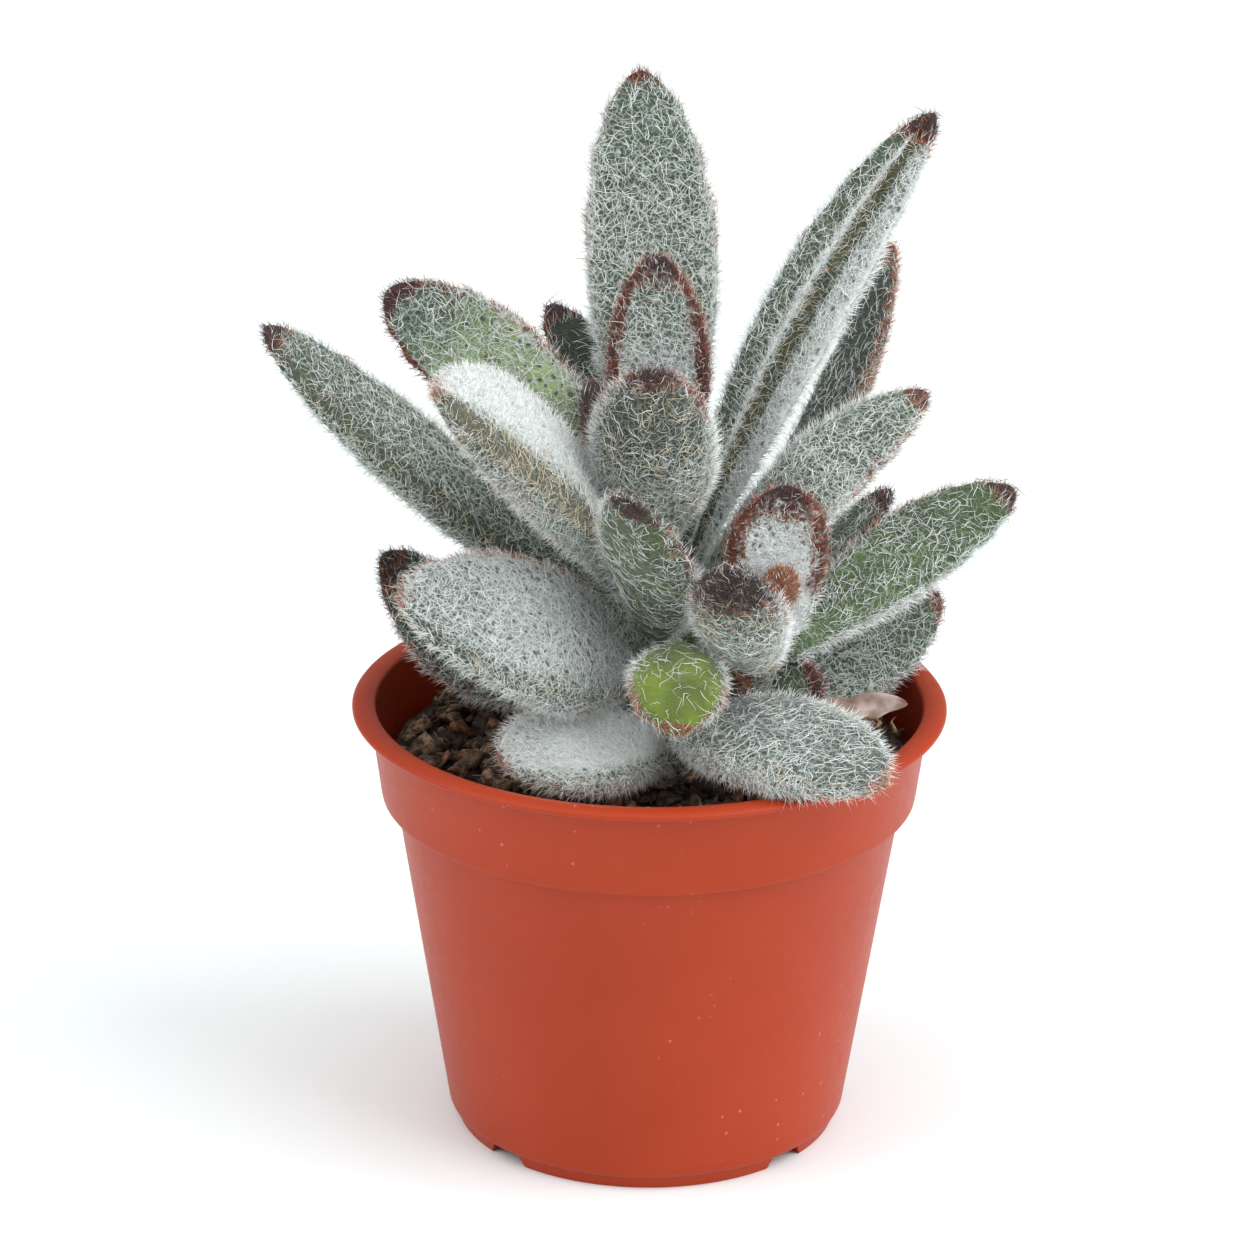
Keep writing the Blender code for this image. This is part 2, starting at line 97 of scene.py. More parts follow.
# Dress of each leaf. ground: its skin under the felt. upper, lower: how white the felt is on either face.
# tip: where the dark tip begins. rim: where the stained margins begin. wide: their share of the half width.
# minus, plus: how closely each margin is stained. tone: 0 pink, through tan and rust, to 1 nearly black.
# straw: share of straw-coloured hairs in the lower dress. shift: degrees by which that dress reaches over a
# margin, the plus one where it is positive and the minus one where it is negative.
GREY = (0.045, 0.078, 0.034)
BLUE = (0.055, 0.085, 0.072)
DEEP = (0.018, 0.033, 0.015)
FRESH = (0.044, 0.094, 0.014)
BROWN = (0.085, 0.064, 0.028)  # under straw-coloured hairs
DRESS = {  # slot, ground, upper, lower, tip, rim, wide, minus, plus, tone, straw, shift
    "tall": ("leaf_silver", GREY, 0.58, 0.75, 0.975, 0.50, 0.08, 0.45, 0.45, 0.45, 0.05, 0),
    "right_tall": ("leaf_silver", GREY, 0.80, 0.44, 0.940, 0.45, 0.12, 0.00, 0.15, 0.65, 0.05, 78),
    "right_back": ("leaf_green", DEEP, 0.32, 0.40, 0.945, 0.35, 0.22, 0.65, 0.00, 0.24, 0.10, 0),
    "right_mid": ("leaf_silver", GREY, 0.62, 0.60, 0.955, 0.60, 0.10, 0.50, 0.00, 0.40, 0.15, 0),
    "right_low": ("leaf_green", FRESH, 0.39, 0.85, 0.930, 0.30, 0.09, 0.05, 0.55, 0.68, 0.05, 0),
    "right_under": ("leaf_silver", GREY, 0.56, 0.60, 0.950, 0.50, 0.10, 0.35, 0.10, 0.35, 0.05, 0),
    "right_small": ("leaf_green", FRESH, 0.42, 0.50, 0.90, 0.50, 0.15, 0.70, 0.70, 0.70, 0.05, 0),
    "left_up": ("leaf_green", (0.050, 0.090, 0.055), 0.58, 0.50, 0.940, 0.40, 0.13, 0.60, 0.95, 0.62, 0.15, 0),
    "left_white": ("leaf_silver", GREY, 1.10, 0.34, 0.985, 0.45, 0.10, 0.00, 0.35, 0.05, 0.90, 74),
    "left_long": ("leaf_silver", GREY, 0.56, 0.32, 0.955, 0.75, 0.10, 0.35, 0.00, 0.70, 0.50, 58),
    "left_big": ("leaf_silver", BLUE, 0.79, 0.46, 0.985, 0.20, 0.07, 0.65, 0.10, 0.14, 0.60, 42),
    "left_low": ("leaf_silver", DEEP, 0.34, 0.30, 0.93, 0.45, 0.12, 0.50, 0.50, 0.60, 0.10, 0),
    "back_small": ("leaf_silver", DEEP, 0.28, 0.30, 0.93, 0.30, 0.16, 0.70, 0.90, 0.66, 0.10, 0),
    "heart_back": ("leaf_young", GREY, 0.58, 0.60, 0.90, 0.05, 0.28, 1.00, 1.00, 0.62, 0.25, 0),
    "heart_front": ("leaf_young", DEEP, 0.36, 0.38, 0.94, 0.70, 0.10, 0.40, 0.70, 0.56, 0.45, 0),
    "heart_left": ("leaf_young", GREY, 0.45, 0.40, 0.60, 0.05, 0.45, 0.90, 0.90, 0.66, 0.20, 0),
    "front_green": ("leaf_green", FRESH, 0.34, 0.34, 0.93, 0.55, 0.10, 0.10, 0.60, 0.80, 0.15, 0),
    "offset_back": ("leaf_young", GREY, 0.80, 0.85, 0.85, 0.30, 0.33, 1.00, 1.00, 0.56, 0.05, 0),
    "offset_front": ("leaf_young", GREY, 0.66, 0.46, 0.82, 0.50, 0.24, 0.45, 0.45, 0.80, 0.45, 0),
    "front_droop": ("leaf_green", (0.165, 0.250, 0.010), 0.22, 0.22, 0.95, 0.50, 0.12, 0.60, 0.50, 0.22, 0.10, 0),
    "side": ("leaf_green", (0.040, 0.062, 0.022), 0.34, 0.36, 0.80, 0.25, 0.30, 0.75, 0.75, 0.50, 0.10, 0),
    "low_left": ("leaf_silver", BLUE, 1.00, 0.54, 0.985, 0.30, 0.10, 0.00, 0.35, 0.20, 0.60, 38),
    "low_right": ("leaf_silver", BLUE, 0.54, 0.50, 0.965, 0.25, 0.10, 0.30, 0.10, 0.16, 0.50, -36),
    "rear_mid": ("leaf_silver", GREY, 0.56, 0.62, 0.965, 0.45, 0.08, 0.45, 0.45, 0.55, 0.10, 0),
    "rear_right": ("leaf_silver", GREY, 0.62, 0.62, 0.965, 0.45, 0.08, 0.45, 0.45, 0.45, 0.10, 0),
    "rear_left": ("leaf_silver", BLUE, 0.64, 0.62, 0.965, 0.45, 0.08, 0.45, 0.45, 0.45, 0.10, 0),
    "rear_low": ("leaf_silver", GREY, 0.56, 0.60, 0.965, 0.45, 0.08, 0.45, 0.45, 0.45, 0.10, 0),
    "rear_low_left": ("leaf_silver", GREY, 0.56, 0.60, 0.965, 0.45, 0.08, 0.45, 0.45, 0.45, 0.10, 0),
}
# Leaves folded lengthwise where their lower dress ends: how deep the hollow is and how high its edge, in millimetres.
FOLDED = ("right_tall",)
FOLD_DEEP, FOLD_RIDGE = 1.5, 0.6
# Fresh growth at the foot of a leaf: its colour, and where along the leaf it ends.
FRESH_FOOT = {
    "left_up": ((0.290, 0.430, 0.105), 0.50, 0.95),
    "heart_front": ((0.200, 0.215, 0.110), 0.10, 0.60),
    "front_green": ((0.090, 0.160, 0.030), 0.30, 0.80),
    "right_low": ((0.075, 0.140, 0.025), 0.20, 0.70),
    "right_small": ((0.090, 0.160, 0.030), 0.30, 0.80),
    "side": ((0.110, 0.170, 0.050), 0.30, 0.80),
    "tall": ((0.090, 0.150, 0.060), 0.10, 0.60),
    "rear_mid": ((0.110, 0.190, 0.050), 0.15, 0.60),
    "rear_left": ((0.110, 0.190, 0.050), 0.15, 0.60),
}
LEAF_SIDES, LEAF_RINGS = 28, 34

# Buds: centre, radius, height over width, the tone of the stain on their skin.
BUDS = {
    "bud_offset": ((22.3, -17.6, 107.0), 3.0, 1.15, 0.25),
    "bud_side": ((15.0, -14.0, 87.8), 2.1, 1.2, 0.50),
}

HAIR_TINTS = {
    "white": (0.90, 0.93, 0.91),
    "silver": (0.66, 0.73, 0.68),
    "straw": (0.74, 0.63, 0.45),
    "pink": (0.72, 0.45, 0.42),
    "tan": (0.50, 0.27, 0.14),
    "rust": (0.42, 0.100, 0.032),
    "maroon": (0.19, 0.036, 0.026),
    "dark": (0.070, 0.036, 0.032),
}
WHITE, SILVER, STRAW, PINK, TAN, RUST, MAROON, DARK = range(8)


def nothing_selected():
    if bpy.context.object and bpy.context.object.mode != "OBJECT":
        bpy.ops.object.mode_set(mode="OBJECT")
    bpy.ops.object.select_all(action="DESELECT")


def only(obj):
    nothing_selected()
    obj.select_set(True)
    bpy.context.view_layer.objects.active = obj
    return obj


def piece_of(name, points, triangles, paints, which=None):
    """A piece from arrays of points in metres and triangles, with one paint or one for each triangle."""
    mesh = bpy.data.meshes.new(name)
    mesh.vertices.add(len(points))
    mesh.vertices.foreach_set("co", np.ascontiguousarray(points, np.float32).ravel())
    mesh.loops.add(3 * len(triangles))
    mesh.loops.foreach_set("vertex_index", np.ascontiguousarray(triangles, np.int32).ravel())
    mesh.polygons.add(len(triangles))
    mesh.polygons.foreach_set("loop_start", np.arange(0, 3 * len(triangles), 3, dtype=np.int32))
    for paint in paints:
        mesh.materials.append(paint)
    if which is not None:
        mesh.polygons.foreach_set("material_index", np.ascontiguousarray(which, np.int32))
    mesh.update(calc_edges=True)
    obj = bpy.data.objects.new(name, mesh)
    bpy.context.scene.collection.objects.link(obj)
    return obj


def arrays_of(obj):
    """Points and triangles of a mesh, as arrays."""
    mesh = obj.data
    mesh.calc_loop_triangles()
    points = np.empty(3 * len(mesh.vertices), np.float32)
    mesh.vertices.foreach_get("co", points)
    triangles = np.empty(3 * len(mesh.loop_triangles), np.int32)
    mesh.loop_triangles.foreach_get("vertices", triangles)
    return points.reshape(-1, 3).astype(float), triangles.reshape(-1, 3)


def normals_of(obj):
    found = np.empty(3 * len(obj.data.vertices), np.float32)
    obj.data.vertices.foreach_get("normal", found)
    return found.reshape(-1, 3).astype(float)


def unit(v):
    return v / np.maximum(1e-9, np.linalg.norm(v, axis=-1, keepdims=True))


def smoothstep(low, high, x):
    t = np.clip((x - low) / (high - low), 0, 1)
    return t * t * (3 - 2 * t)


def paint(name, rough, colour=None, sheen=0.0):
    made = bpy.data.materials.new(name)
    made.use_nodes = True
    shader = made.node_tree.nodes["Principled BSDF"]
    shader.inputs["Roughness"].default_value = rough
    shader.inputs["Sheen Weight"].default_value = sheen
    if colour:
        shader.inputs["Base Color"].default_value = (*colour, 1)
    return made, made.node_tree, shader


class Wires:
    """Short hands for a paint's node tree. Its patterns read the place on the object."""

    def __init__(self, tree):
        self.tree = tree
        self.place = self.add("ShaderNodeTexCoord").outputs["Object"]

    def add(self, kind, **settings):
        node = self.tree.nodes.new(kind)
        for key, value in settings.items():
            if key in node.inputs:
                node.inputs[key].default_value = value
            else:
                setattr(node, key, value)
        return node

    def link(self, out, into):
        self.tree.links.new(out, into)

    def noise(self, scale, detail, **settings):
        """Clouded noise, as a texture node."""
        node = self.add("ShaderNodeTexNoise", Scale=scale, Detail=detail, **settings)
        self.link(self.place, node.inputs["Vector"])
        return node

    def cells(self, scale, feature, place=None):
        """How far each point lies from the middle (F1) or the wall (DISTANCE_TO_EDGE) of its cell."""
        node = self.add("ShaderNodeTexVoronoi", feature=feature, Scale=scale)
        self.link(self.place if place is None else place, node.inputs["Vector"])
        return node.outputs["Distance"]

    def attribute(self, name):
        return self.add("ShaderNodeAttribute", attribute_name=name).outputs["Color"]

    def math(self, operation, a, b):
        node = self.add("ShaderNodeMath", operation=operation)
        for value, socket in zip((a, b), node.inputs):
            if isinstance(value, (int, float)):
                socket.default_value = value
            else:
                self.link(value, socket)
        return node.outputs[0]

    def mix(self, share, a, b):
        """Colour a where share is 0, and colour b where it is 1."""
        node = self.add("ShaderNodeMix", data_type="RGBA")
        for value, socket in zip((share, a, b), (node.inputs[0], node.inputs[6], node.inputs[7])):
            if isinstance(value, (int, float)):
                socket.default_value = value
            elif isinstance(value, tuple):
                socket.default_value = (*value, 1)
            else:
                self.link(value, socket)
        return node.outputs[2]

    def spread(self, value, low, high):
        """0 below low and 1 above high, or the other way round."""
        node = self.add("ShaderNodeMapRange", interpolation_type="SMOOTHSTEP")
        self.link(value, node.inputs["Value"])
        node.inputs["From Min"].default_value = min(low, high)
        node.inputs["From Max"].default_value = max(low, high)
        node.inputs["To Min"].default_value = 0 if low < high else 1
        node.inputs["To Max"].default_value = 1 if low < high else 0
        return node.outputs["Result"]

    def bump(self, height, distance, strength, shader):
        node = self.add("ShaderNodeBump", Distance=distance, Strength=strength)
        self.link(height, node.inputs["Height"])
        self.link(node.outputs["Normal"], shader.inputs["Normal"])


# The web painted on the skin: cells to the metre, how wide its threads are, and how strongly each layer shows.
WEB_LAYERS = ((700.0, 0.09, 1.0), (1250.0, 0.11, 0.7))
WEB_WARP = 0.0016
THIN_FELT, THICK_FELT = (0.17, 0.22, 0.17), (0.70, 0.74, 0.75)
# Colour in the pits of the felt: the dark skin seen through its gaps, painted darker still as shade in those hollows.
SHADED_PIT = (0.022, 0.036, 0.028)
# Stained skin, from a tone of 0 to 1: pink, rust, maroon, nearly black.
STAINS = (
    (0.0, (0.34, 0.18, 0.15)), (0.25, (0.20, 0.060, 0.028)), (0.5, (0.060, 0.014, 0.009)), (1.0, (0.016, 0.009, 0.008)),
)


def felt_paint(name):
    """Leaf skin: green ground under a web of matted hair, stained at the tip and margins."""
    made, tree, shader = paint(name, 0.85, sheen=0.25)
    w = Wires(tree)
    moved = w.add("ShaderNodeVectorMath", operation="MULTIPLY_ADD")
    w.link(w.noise(520.0, 2.0).outputs["Color"], moved.inputs[0])
    moved.inputs[1].default_value = (WEB_WARP, WEB_WARP, WEB_WARP)
    w.link(w.place, moved.inputs[2])
    layers = [
        w.math("MULTIPLY", w.spread(w.cells(scale, "DISTANCE_TO_EDGE", moved.outputs[0]), wide, 0.01), strong)
        for scale, wide, strong in WEB_LAYERS
    ]
    web = w.math("MAXIMUM", *layers)
    cloud = w.noise(150.0, 3.0).outputs["Fac"]
    masks = w.add("ShaderNodeSeparateColor")
    w.link(w.attribute("masks"), masks.inputs[0])
    felt, stain, tone = masks.outputs
    shade = w.math("MULTIPLY", w.spread(cloud, 0.30, 0.72), 0.6)
    skin = w.mix(shade, w.attribute("ground"), (0.014, 0.022, 0.010))
    thick = w.spread(w.math("ADD", felt, w.math("MULTIPLY", web, 0.50)), 0.50, 1.15)
    body = w.mix(thick, skin, w.mix(felt, THIN_FELT, THICK_FELT))
    # Pits show where the felt is neither thin nor closed. They are painted darker than the skin: partly the skin seen
    # through the felt, partly painted shade in those hollows.
    pitted = w.math("MULTIPLY", w.spread(felt, 1.0, 0.86), w.spread(felt, 0.26, 0.44))
    shaded_hole = w.math("MULTIPLY", w.spread(w.cells(640.0, "F1", moved.outputs[0]), 0.34, 0.18), pitted)
    body = w.mix(w.math("MULTIPLY", shaded_hole, 0.8), body, SHADED_PIT)
    fleck = w.math("SUBTRACT", w.noise(700.0, 2.0).outputs["Fac"], 0.5)
    stained = w.spread(w.math("ADD", stain, w.math("MULTIPLY", fleck, 1.6)), 0.48, 0.90)
    ramp = w.add("ShaderNodeValToRGB")
    stops = ramp.color_ramp.elements
    while len(stops) < len(STAINS):
        stops.new(0.5)
    for stop, (at, colour) in zip(stops, STAINS):
        stop.position, stop.color = at, (*colour, 1)
    mottle = w.math("MULTIPLY", w.math("SUBTRACT", cloud, 0.5), 0.5)
    w.link(w.math("ADD", tone, mottle), ramp.inputs[0])
    w.link(w.mix(stained, body, ramp.outputs["Color"]), shader.inputs["Base Color"])
    w.bump(web, 0.0003, 0.6, shader)
    return made


def hair_paints():
    """A paint for each tint of hair, made once."""
    return [
        bpy.data.materials.get("hair_" + tint) or paint("hair_" + tint, 0.62, colour, sheen=0.2)[0]
        for tint, colour in HAIR_TINTS.items()
    ]


def plastic_paint():
    """Moulded terracotta-coloured plastic: satin, faintly mottled, with fine scuffs and dust specks."""
    settings = bpy.context.scene.panda_pot
    made, tree, shader = paint("pot_plastic_moulded", 0.44)
    shader.inputs["Specular IOR Level"].default_value = 0.24
    w = Wires(tree)
    broad = w.noise(26.0, 3.0).outputs["Fac"]
    fine = w.noise(420.0, 4.0).outputs["Fac"]
    colour = tuple(settings.colour)
    paler = tuple(min(1, c * 1.08 + 0.003) for c in colour)
    body = w.mix(w.spread(broad, 0.35, 0.70), colour, paler)
    dust = w.math("MULTIPLY", w.spread(w.cells(330.0, "F1"), 0.13, 0.05), w.spread(broad, 0.52, 0.66))
    body = w.mix(w.math("MULTIPLY", dust, 0.35), body, (0.78, 0.45, 0.34))
    w.link(body, shader.inputs["Base Color"])
    w.link(w.math("ADD", w.math("MULTIPLY", fine, 0.16), 0.36), shader.inputs["Roughness"])
    w.bump(fine, 0.00008, 0.35, shader)
    return made


def bark_paint(name, dark, pale, scale):
    """Bark and peat: dark, ridged, with paler broken grain."""
    made, tree, shader = paint(name, 0.88)
    w = Wires(tree)
    grain = w.noise(scale, 5.0, Roughness=0.65).outputs["Fac"]
    lumps = w.noise(scale * 0.18, 2.0).outputs["Fac"]
    high = w.math("MULTIPLY", w.spread(grain, 0.40, 0.68), w.spread(lumps, 0.28, 0.66))
    w.link(w.mix(high, dark, pale), shader.inputs["Base Color"])
    w.bump(grain, 0.0006, 0.9, shader)
    return made


def withered_paint():
    """The dry leaf: brown, with pale papery patches."""
    made, tree, shader = paint("dry_leaf_skin", 0.8)
    w = Wires(tree)
    grain = w.noise(260.0, 4.0).outputs["Fac"]
    w.link(w.mix(w.spread(grain, 0.35, 0.7), (0.27, 0.17, 0.13), (0.62, 0.50, 0.46)), shader.inputs["Base Color"])
    w.bump(grain, 0.0005, 0.7, shader)
    return made


def shoot_at(shoot, high):
    """Middle and radius of a shoot at a height, in millimetres."""
    foot, head, foot_r, head_r, _ = SHOOTS[shoot]
    k = (high - SOIL_TOP) / (head[2] - SOIL_TOP)
    centre = np.array((foot[0] + k * (head[0] - foot[0]), foot[1] + k * (head[1] - foot[1]), high))
    return centre, foot_r + k * (head_r - foot_r)


def leaf_axes(row):
    """Root, chord and the three directions of a leaf, in millimetres."""
    shoot, high, turn, reach, rise, _, thick, bow, _, roll = row[:10]
    centre, shoot_r = shoot_at(shoot, high)
    out = np.array((math.sin(math.radians(turn)), -math.cos(math.radians(turn)), 0))
    steep = math.atan2(rise, reach) + math.atan2(4 * bow * math.cos(math.radians(roll)), math.hypot(reach, rise))
    push = 0.45 * thick * max(0, math.sin(steep))
    root = centre + out * (shoot_r + GAP + push)
    chord = out * (reach - push) + np.array((0, 0, rise))
    along = unit(chord)
    face = Vector(unit(np.array((0, 0, 1)) * along.dot(out) - out * along[2]))
    face = np.array(Matrix.Rotation(math.radians(roll), 3, Vector(along)) @ face)
    return root, chord, along, face, np.cross(face, along)


def leaf_points(row, u, c, s):
    """Points of a leaf's skin: u runs from root to tip, c and s round it, s above 0 on the upper face."""
    width, thick, bow, sweep, _, cup, widest, neck, toothed = row[5:]
    root, chord, _, face, side = leaf_axes(row)
    near = (neck + (1 - neck) * np.sin(np.pi / 2 * np.minimum(1, u / widest)) ** 1.4) * np.minimum(1, 0.35 + u / 0.03)
    far = (1 - np.clip((u - widest) / (1 - widest), 0, 1) ** 2.2) ** 0.6
    wide = width / 2 * np.where(u < widest, near, far)
    if toothed:
        wide = wide * (1 + np.interp(u, RINGS, TEETH) * smoothstep(0.85, 1.0, abs(c)))
    high = (0.72 + 0.28 * np.sin(np.pi * np.minimum(1, u / 0.8))) * np.minimum(1, 0.45 + u / 0.03) * (1 - u ** 5) ** 0.5
    lift = thick / 2 * high * np.copysign(abs(s) ** 0.8, s) + cup * wide * (c * c - 0.4)
    lean = 4 * u * (1 - u)
    return root + np.outer(u, chord) + np.outer(bow * lean + lift, face) + np.outer(sweep * lean + wide * c, side)


def from_seam(name, c, s):
    """How far a point round a leaf lies from the seam of its two dresses: below 0 in the lower one."""
    shift = math.radians(DRESS[name][-1])
    return s * math.cos(shift) - c * math.sin(shift)


def straw_share(name, c, s):
    """Share of straw-coloured hairs: on the lower dress, and along the fold of a folded leaf."""
    d = from_seam(name, c, s)
    share = DRESS[name][10] * (1 - smoothstep(-0.25, 0.25, d))
    share = share * (1 - smoothstep(0.93, 1.0, abs(c)))
    return np.maximum(share, 0.85 * fold_strip(name, c, s))


def fold_strip(name, c, s):
    """The brown strip beside the fold of a folded leaf."""
    d = from_seam(name, c, s)
    return smoothstep(0.02, 0.14, d) * (1 - smoothstep(0.26, 0.56, d)) * (name in FOLDED)


def dress_masks(name, u, c, s):
    """Felt, stain and tone at each point of a leaf, each from 0 to 1."""
    slot, _, upper, lower, tip, rim, wide, minus, plus, tone, _, _ = DRESS[name]
    felt = upper + (lower - upper) * (1 - smoothstep(-0.25, 0.25, from_seam(name, c, s)))
    felt = felt - 0.60 * fold_strip(name, c, s)
    if name in FOLDED:
        felt = felt + 0.55 * np.exp(-(((from_seam(name, c, s) + 0.06) / 0.11) ** 2)) * (s > 0)
    young = slot == "leaf_young"
    if young:
        felt = felt + 0.28 * (1 - smoothstep(0.35, 0.80, u))
    else:
        felt = felt - 0.12 * smoothstep(0.60, 0.92, u)
    felt = np.minimum(1, felt + 0.25 * smoothstep(0.82, 1.0, abs(c)))
    soft = max(0.04, (1.8 if young else 0.9) * (1 - tip))
    at_tip = smoothstep(tip - soft, min(1.0, tip + 0.6 * soft), u) * (0.55 + 0.45 * min(1, tone / 0.4))
    at_rim = smoothstep(1 - 1.8 * wide, 1 - 0.3 * wide, abs(c)) * smoothstep(rim - 0.12, rim + 0.12, u)
    at_rim = np.maximum(at_rim * np.where(c > 0, plus, minus), 0.34 * fold_strip(name, c, s))
    shade = np.where(at_tip > at_rim, tone * (0.30 + 0.70 * at_tip) + (0.28 if young else 0.15) * at_tip, tone * 0.8)
    return felt, np.maximum(at_tip, at_rim), np.clip(shade, 0, 1)


def sphere_round(name, segments, rings):
    """A primitive ball, and where each of its points lies along it and round it. A ball's points and faces can be
    numbered differently from run to run, so they are put in order, ring by ring."""
    nothing_selected()
    bpy.ops.mesh.primitive_uv_sphere_add(segments=segments, ring_count=rings, radius=1, location=(0, 0, 0))
    obj = bpy.context.object
    obj.name = obj.data.name = name
    points, _ = arrays_of(obj)
    ring = np.rint(rings * (1 - np.arccos(np.clip(points[:, 2], -1, 1)) / np.pi)).astype(int)
    step = np.rint(segments * np.arctan2(points[:, 1], points[:, 0]) / math.tau).astype(int) % segments
    inner = (ring > 0) & (ring < rings)
    order = np.lexsort((step * inner, ring))
    ring, step, inner = ring[order], step[order], inner[order]
    number = np.argsort(order)
    faces = []
    for polygon in obj.data.polygons:
        corners = number[list(polygon.vertices)].tolist()
        first = corners.index(min(corners))
        faces.append(corners[first:] + corners[:first])
    v, turn = ring / rings, math.tau * step / segments
    c, s = np.cos(turn) * inner, np.sin(turn) * inner
    wide = np.sin(np.pi * v)
    obj.data.clear_geometry()
    obj.data.from_pydata(np.stack((wide * c, wide * s, -np.cos(np.pi * v)), 1), [], sorted(faces))
    return obj, v, c, s


def crowded(v):
    """The same way along, with the rings closer together towards both ends."""
    return 0.2 * v + 0.8 * (1 - np.cos(np.pi * v)) / 2


def set_points(obj, points):
    obj.data.vertices.foreach_set("co", np.ascontiguousarray(points, np.float32).ravel())
    obj.data.update()


def add_colours(obj, name, colours):
    """A colour at each point of the mesh, held as it is."""
    layer = obj.data.attributes.new(name, "FLOAT_COLOR", "POINT")
    full = np.ones((len(colours), 4), np.float32)
    full[:, :3] = colours
    layer.data.foreach_set("color", full.ravel())


def leaf_skin(name, felt):
    """A ball drawn out into the leaf, with its ground and its masks kept at the points."""
    row = LEAVES[name]
    obj, v, c, s = sphere_round("skin_" + name, LEAF_SIDES, LEAF_RINGS)
    u = crowded(v)
    points = leaf_points(row, u, c, s)
    if name in FOLDED:
        d = from_seam(name, c, s)
        hollow = FOLD_DEEP * np.exp(-(((d - 0.42) / 0.26) ** 2)) - FOLD_RIDGE * np.exp(-((d / 0.14) ** 2))
        points = points - np.outer(hollow * (s > 0) * np.sin(np.pi * u), leaf_axes(row)[3])
    set_points(obj, points * MM)
    bpy.ops.object.shade_smooth()
    masks = dress_masks(name, u, c, s)
    slot, ground = DRESS[name][:2]
    add_colours(obj, "masks", np.stack(masks, -1))
    ground = np.array(ground) + 0 * u[:, None]
    if name in FRESH_FOOT:
        colour, full, none = FRESH_FOOT[name]
        ground += (1 - smoothstep(full, none, u))[:, None] * (colour - ground)
    brown = straw_share(name, c, s)[:, None]
    add_colours(obj, "ground", ground + 0.8 * brown * (np.array(BROWN) - ground))
    obj.data.materials.append(felt)
    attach(obj, "root")
    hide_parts("leaf_" + name)
    return obj, u, c, s


def strand(cuts):
    """One hair: a primitive cone of three sides, cut across, from 0 to 1 along Z. Its points and triangles."""
    nothing_selected()
    bpy.ops.mesh.primitive_cone_add(vertices=3, radius1=1, radius2=0, depth=1, location=(0, 0, 0.5))
    obj = bpy.context.object
    bpy.ops.object.transform_apply(location=True)
    for at in cuts:
        bpy.ops.object.mode_set(mode="EDIT")
        bpy.ops.mesh.select_all(action="SELECT")
        bpy.ops.mesh.bisect(plane_co=(0, 0, at), plane_no=(0, 0, 1))
        bpy.ops.object.mode_set(mode="OBJECT")
    points, triangles = arrays_of(obj)
    # A hair keeps its thickness for most of its length, and a straight one tapers.
    z = points[:, 2]
    full = np.clip(1 - z, 1e-6, 1)
    points[:, :2] *= (np.clip(1 - z ** 2.2, 0, 1) / full)[:, None]
    mesh = obj.data
    bpy.data.objects.remove(obj)
    bpy.data.meshes.remove(mesh)
    return points, triangles


def grow(shape, root, normal, way, long, thick, rise, fall, curl, wave):
    """Copies of one hair, each bent on its own line, in millimetres: rise and fall are how far it climbs off
    the skin and sinks back, curl and wave how far it swings aside, all as parts of its length."""
    points, triangles = shape
    n, t = len(root), points[:, 2][None, :, None]
    across = unit(np.cross(normal, way))
    rise, fall, curl, wave = (each[:, None, None] for each in (rise, fall, curl, wave))
    line = (
        way[:, None] * (t * np.sqrt(np.clip(1 - rise ** 2, 0.05, 1)))
        + normal[:, None] * (rise * t - fall * t ** 2)
        + across[:, None] * (curl * (t ** 2 - 0.2 * t) + wave * np.sin(2 * np.pi * t))
    )
    centre = root[:, None] - 0.12 * normal[:, None] + long[:, None, None] * line
    aim = unit(way + normal * (rise - fall)[:, 0] + across * (0.8 * curl)[:, 0])
    one = unit(np.cross(aim, across + 0.3 * normal))
    two = np.cross(aim, one)
    size = thick[:, None, None]
    body = centre + size * (points[None, :, 0:1] * one[:, None] + points[None, :, 1:2] * two[:, None])
    faces = triangles[None] + (np.arange(n) * len(points))[:, None, None]
    return body.reshape(-1, 3), faces.reshape(-1, 3)


def scatter(rng, points, triangles, normals, fields, density):
    """Roots spread over a skin, as many to the square millimetre as density says, with the fields there."""
    corner = points[triangles]
    area = 0.5 * np.linalg.norm(np.cross(corner[:, 1] - corner[:, 0], corner[:, 2] - corner[:, 0]), axis=1)
    share = area * density(*[f[triangles].mean(1) for f in fields])
    count = int(round(share.sum()))
    face = np.searchsorted(np.cumsum(share) / share.sum(), rng.random(count))
    face = triangles[np.minimum(face, len(triangles) - 1)]
    a, b = rng.random(count), rng.random(count)
    flip = a + b > 1
    a, b = np.where(flip, 1 - a, a), np.where(flip, 1 - b, b)
    weight = np.stack((1 - a - b, a, b), 1)
    return (
        (points[face] * weight[..., None]).sum(1),
        unit((normals[face] * weight[..., None]).sum(1)),
        [(f[face] * weight).sum(1) for f in fields],
    )


def turned_way(rng, normal, along, spread):
    """Directions in the skin's plane, spread round the way to the tip."""
    flat = unit(along - normal * (normal * along).sum(-1, keepdims=True) + 1e-6)
    across = np.cross(normal, flat)
    angle = rng.normal(0, 1, len(normal)) * spread
    return flat * np.cos(angle)[:, None] + across * np.sin(angle)[:, None]


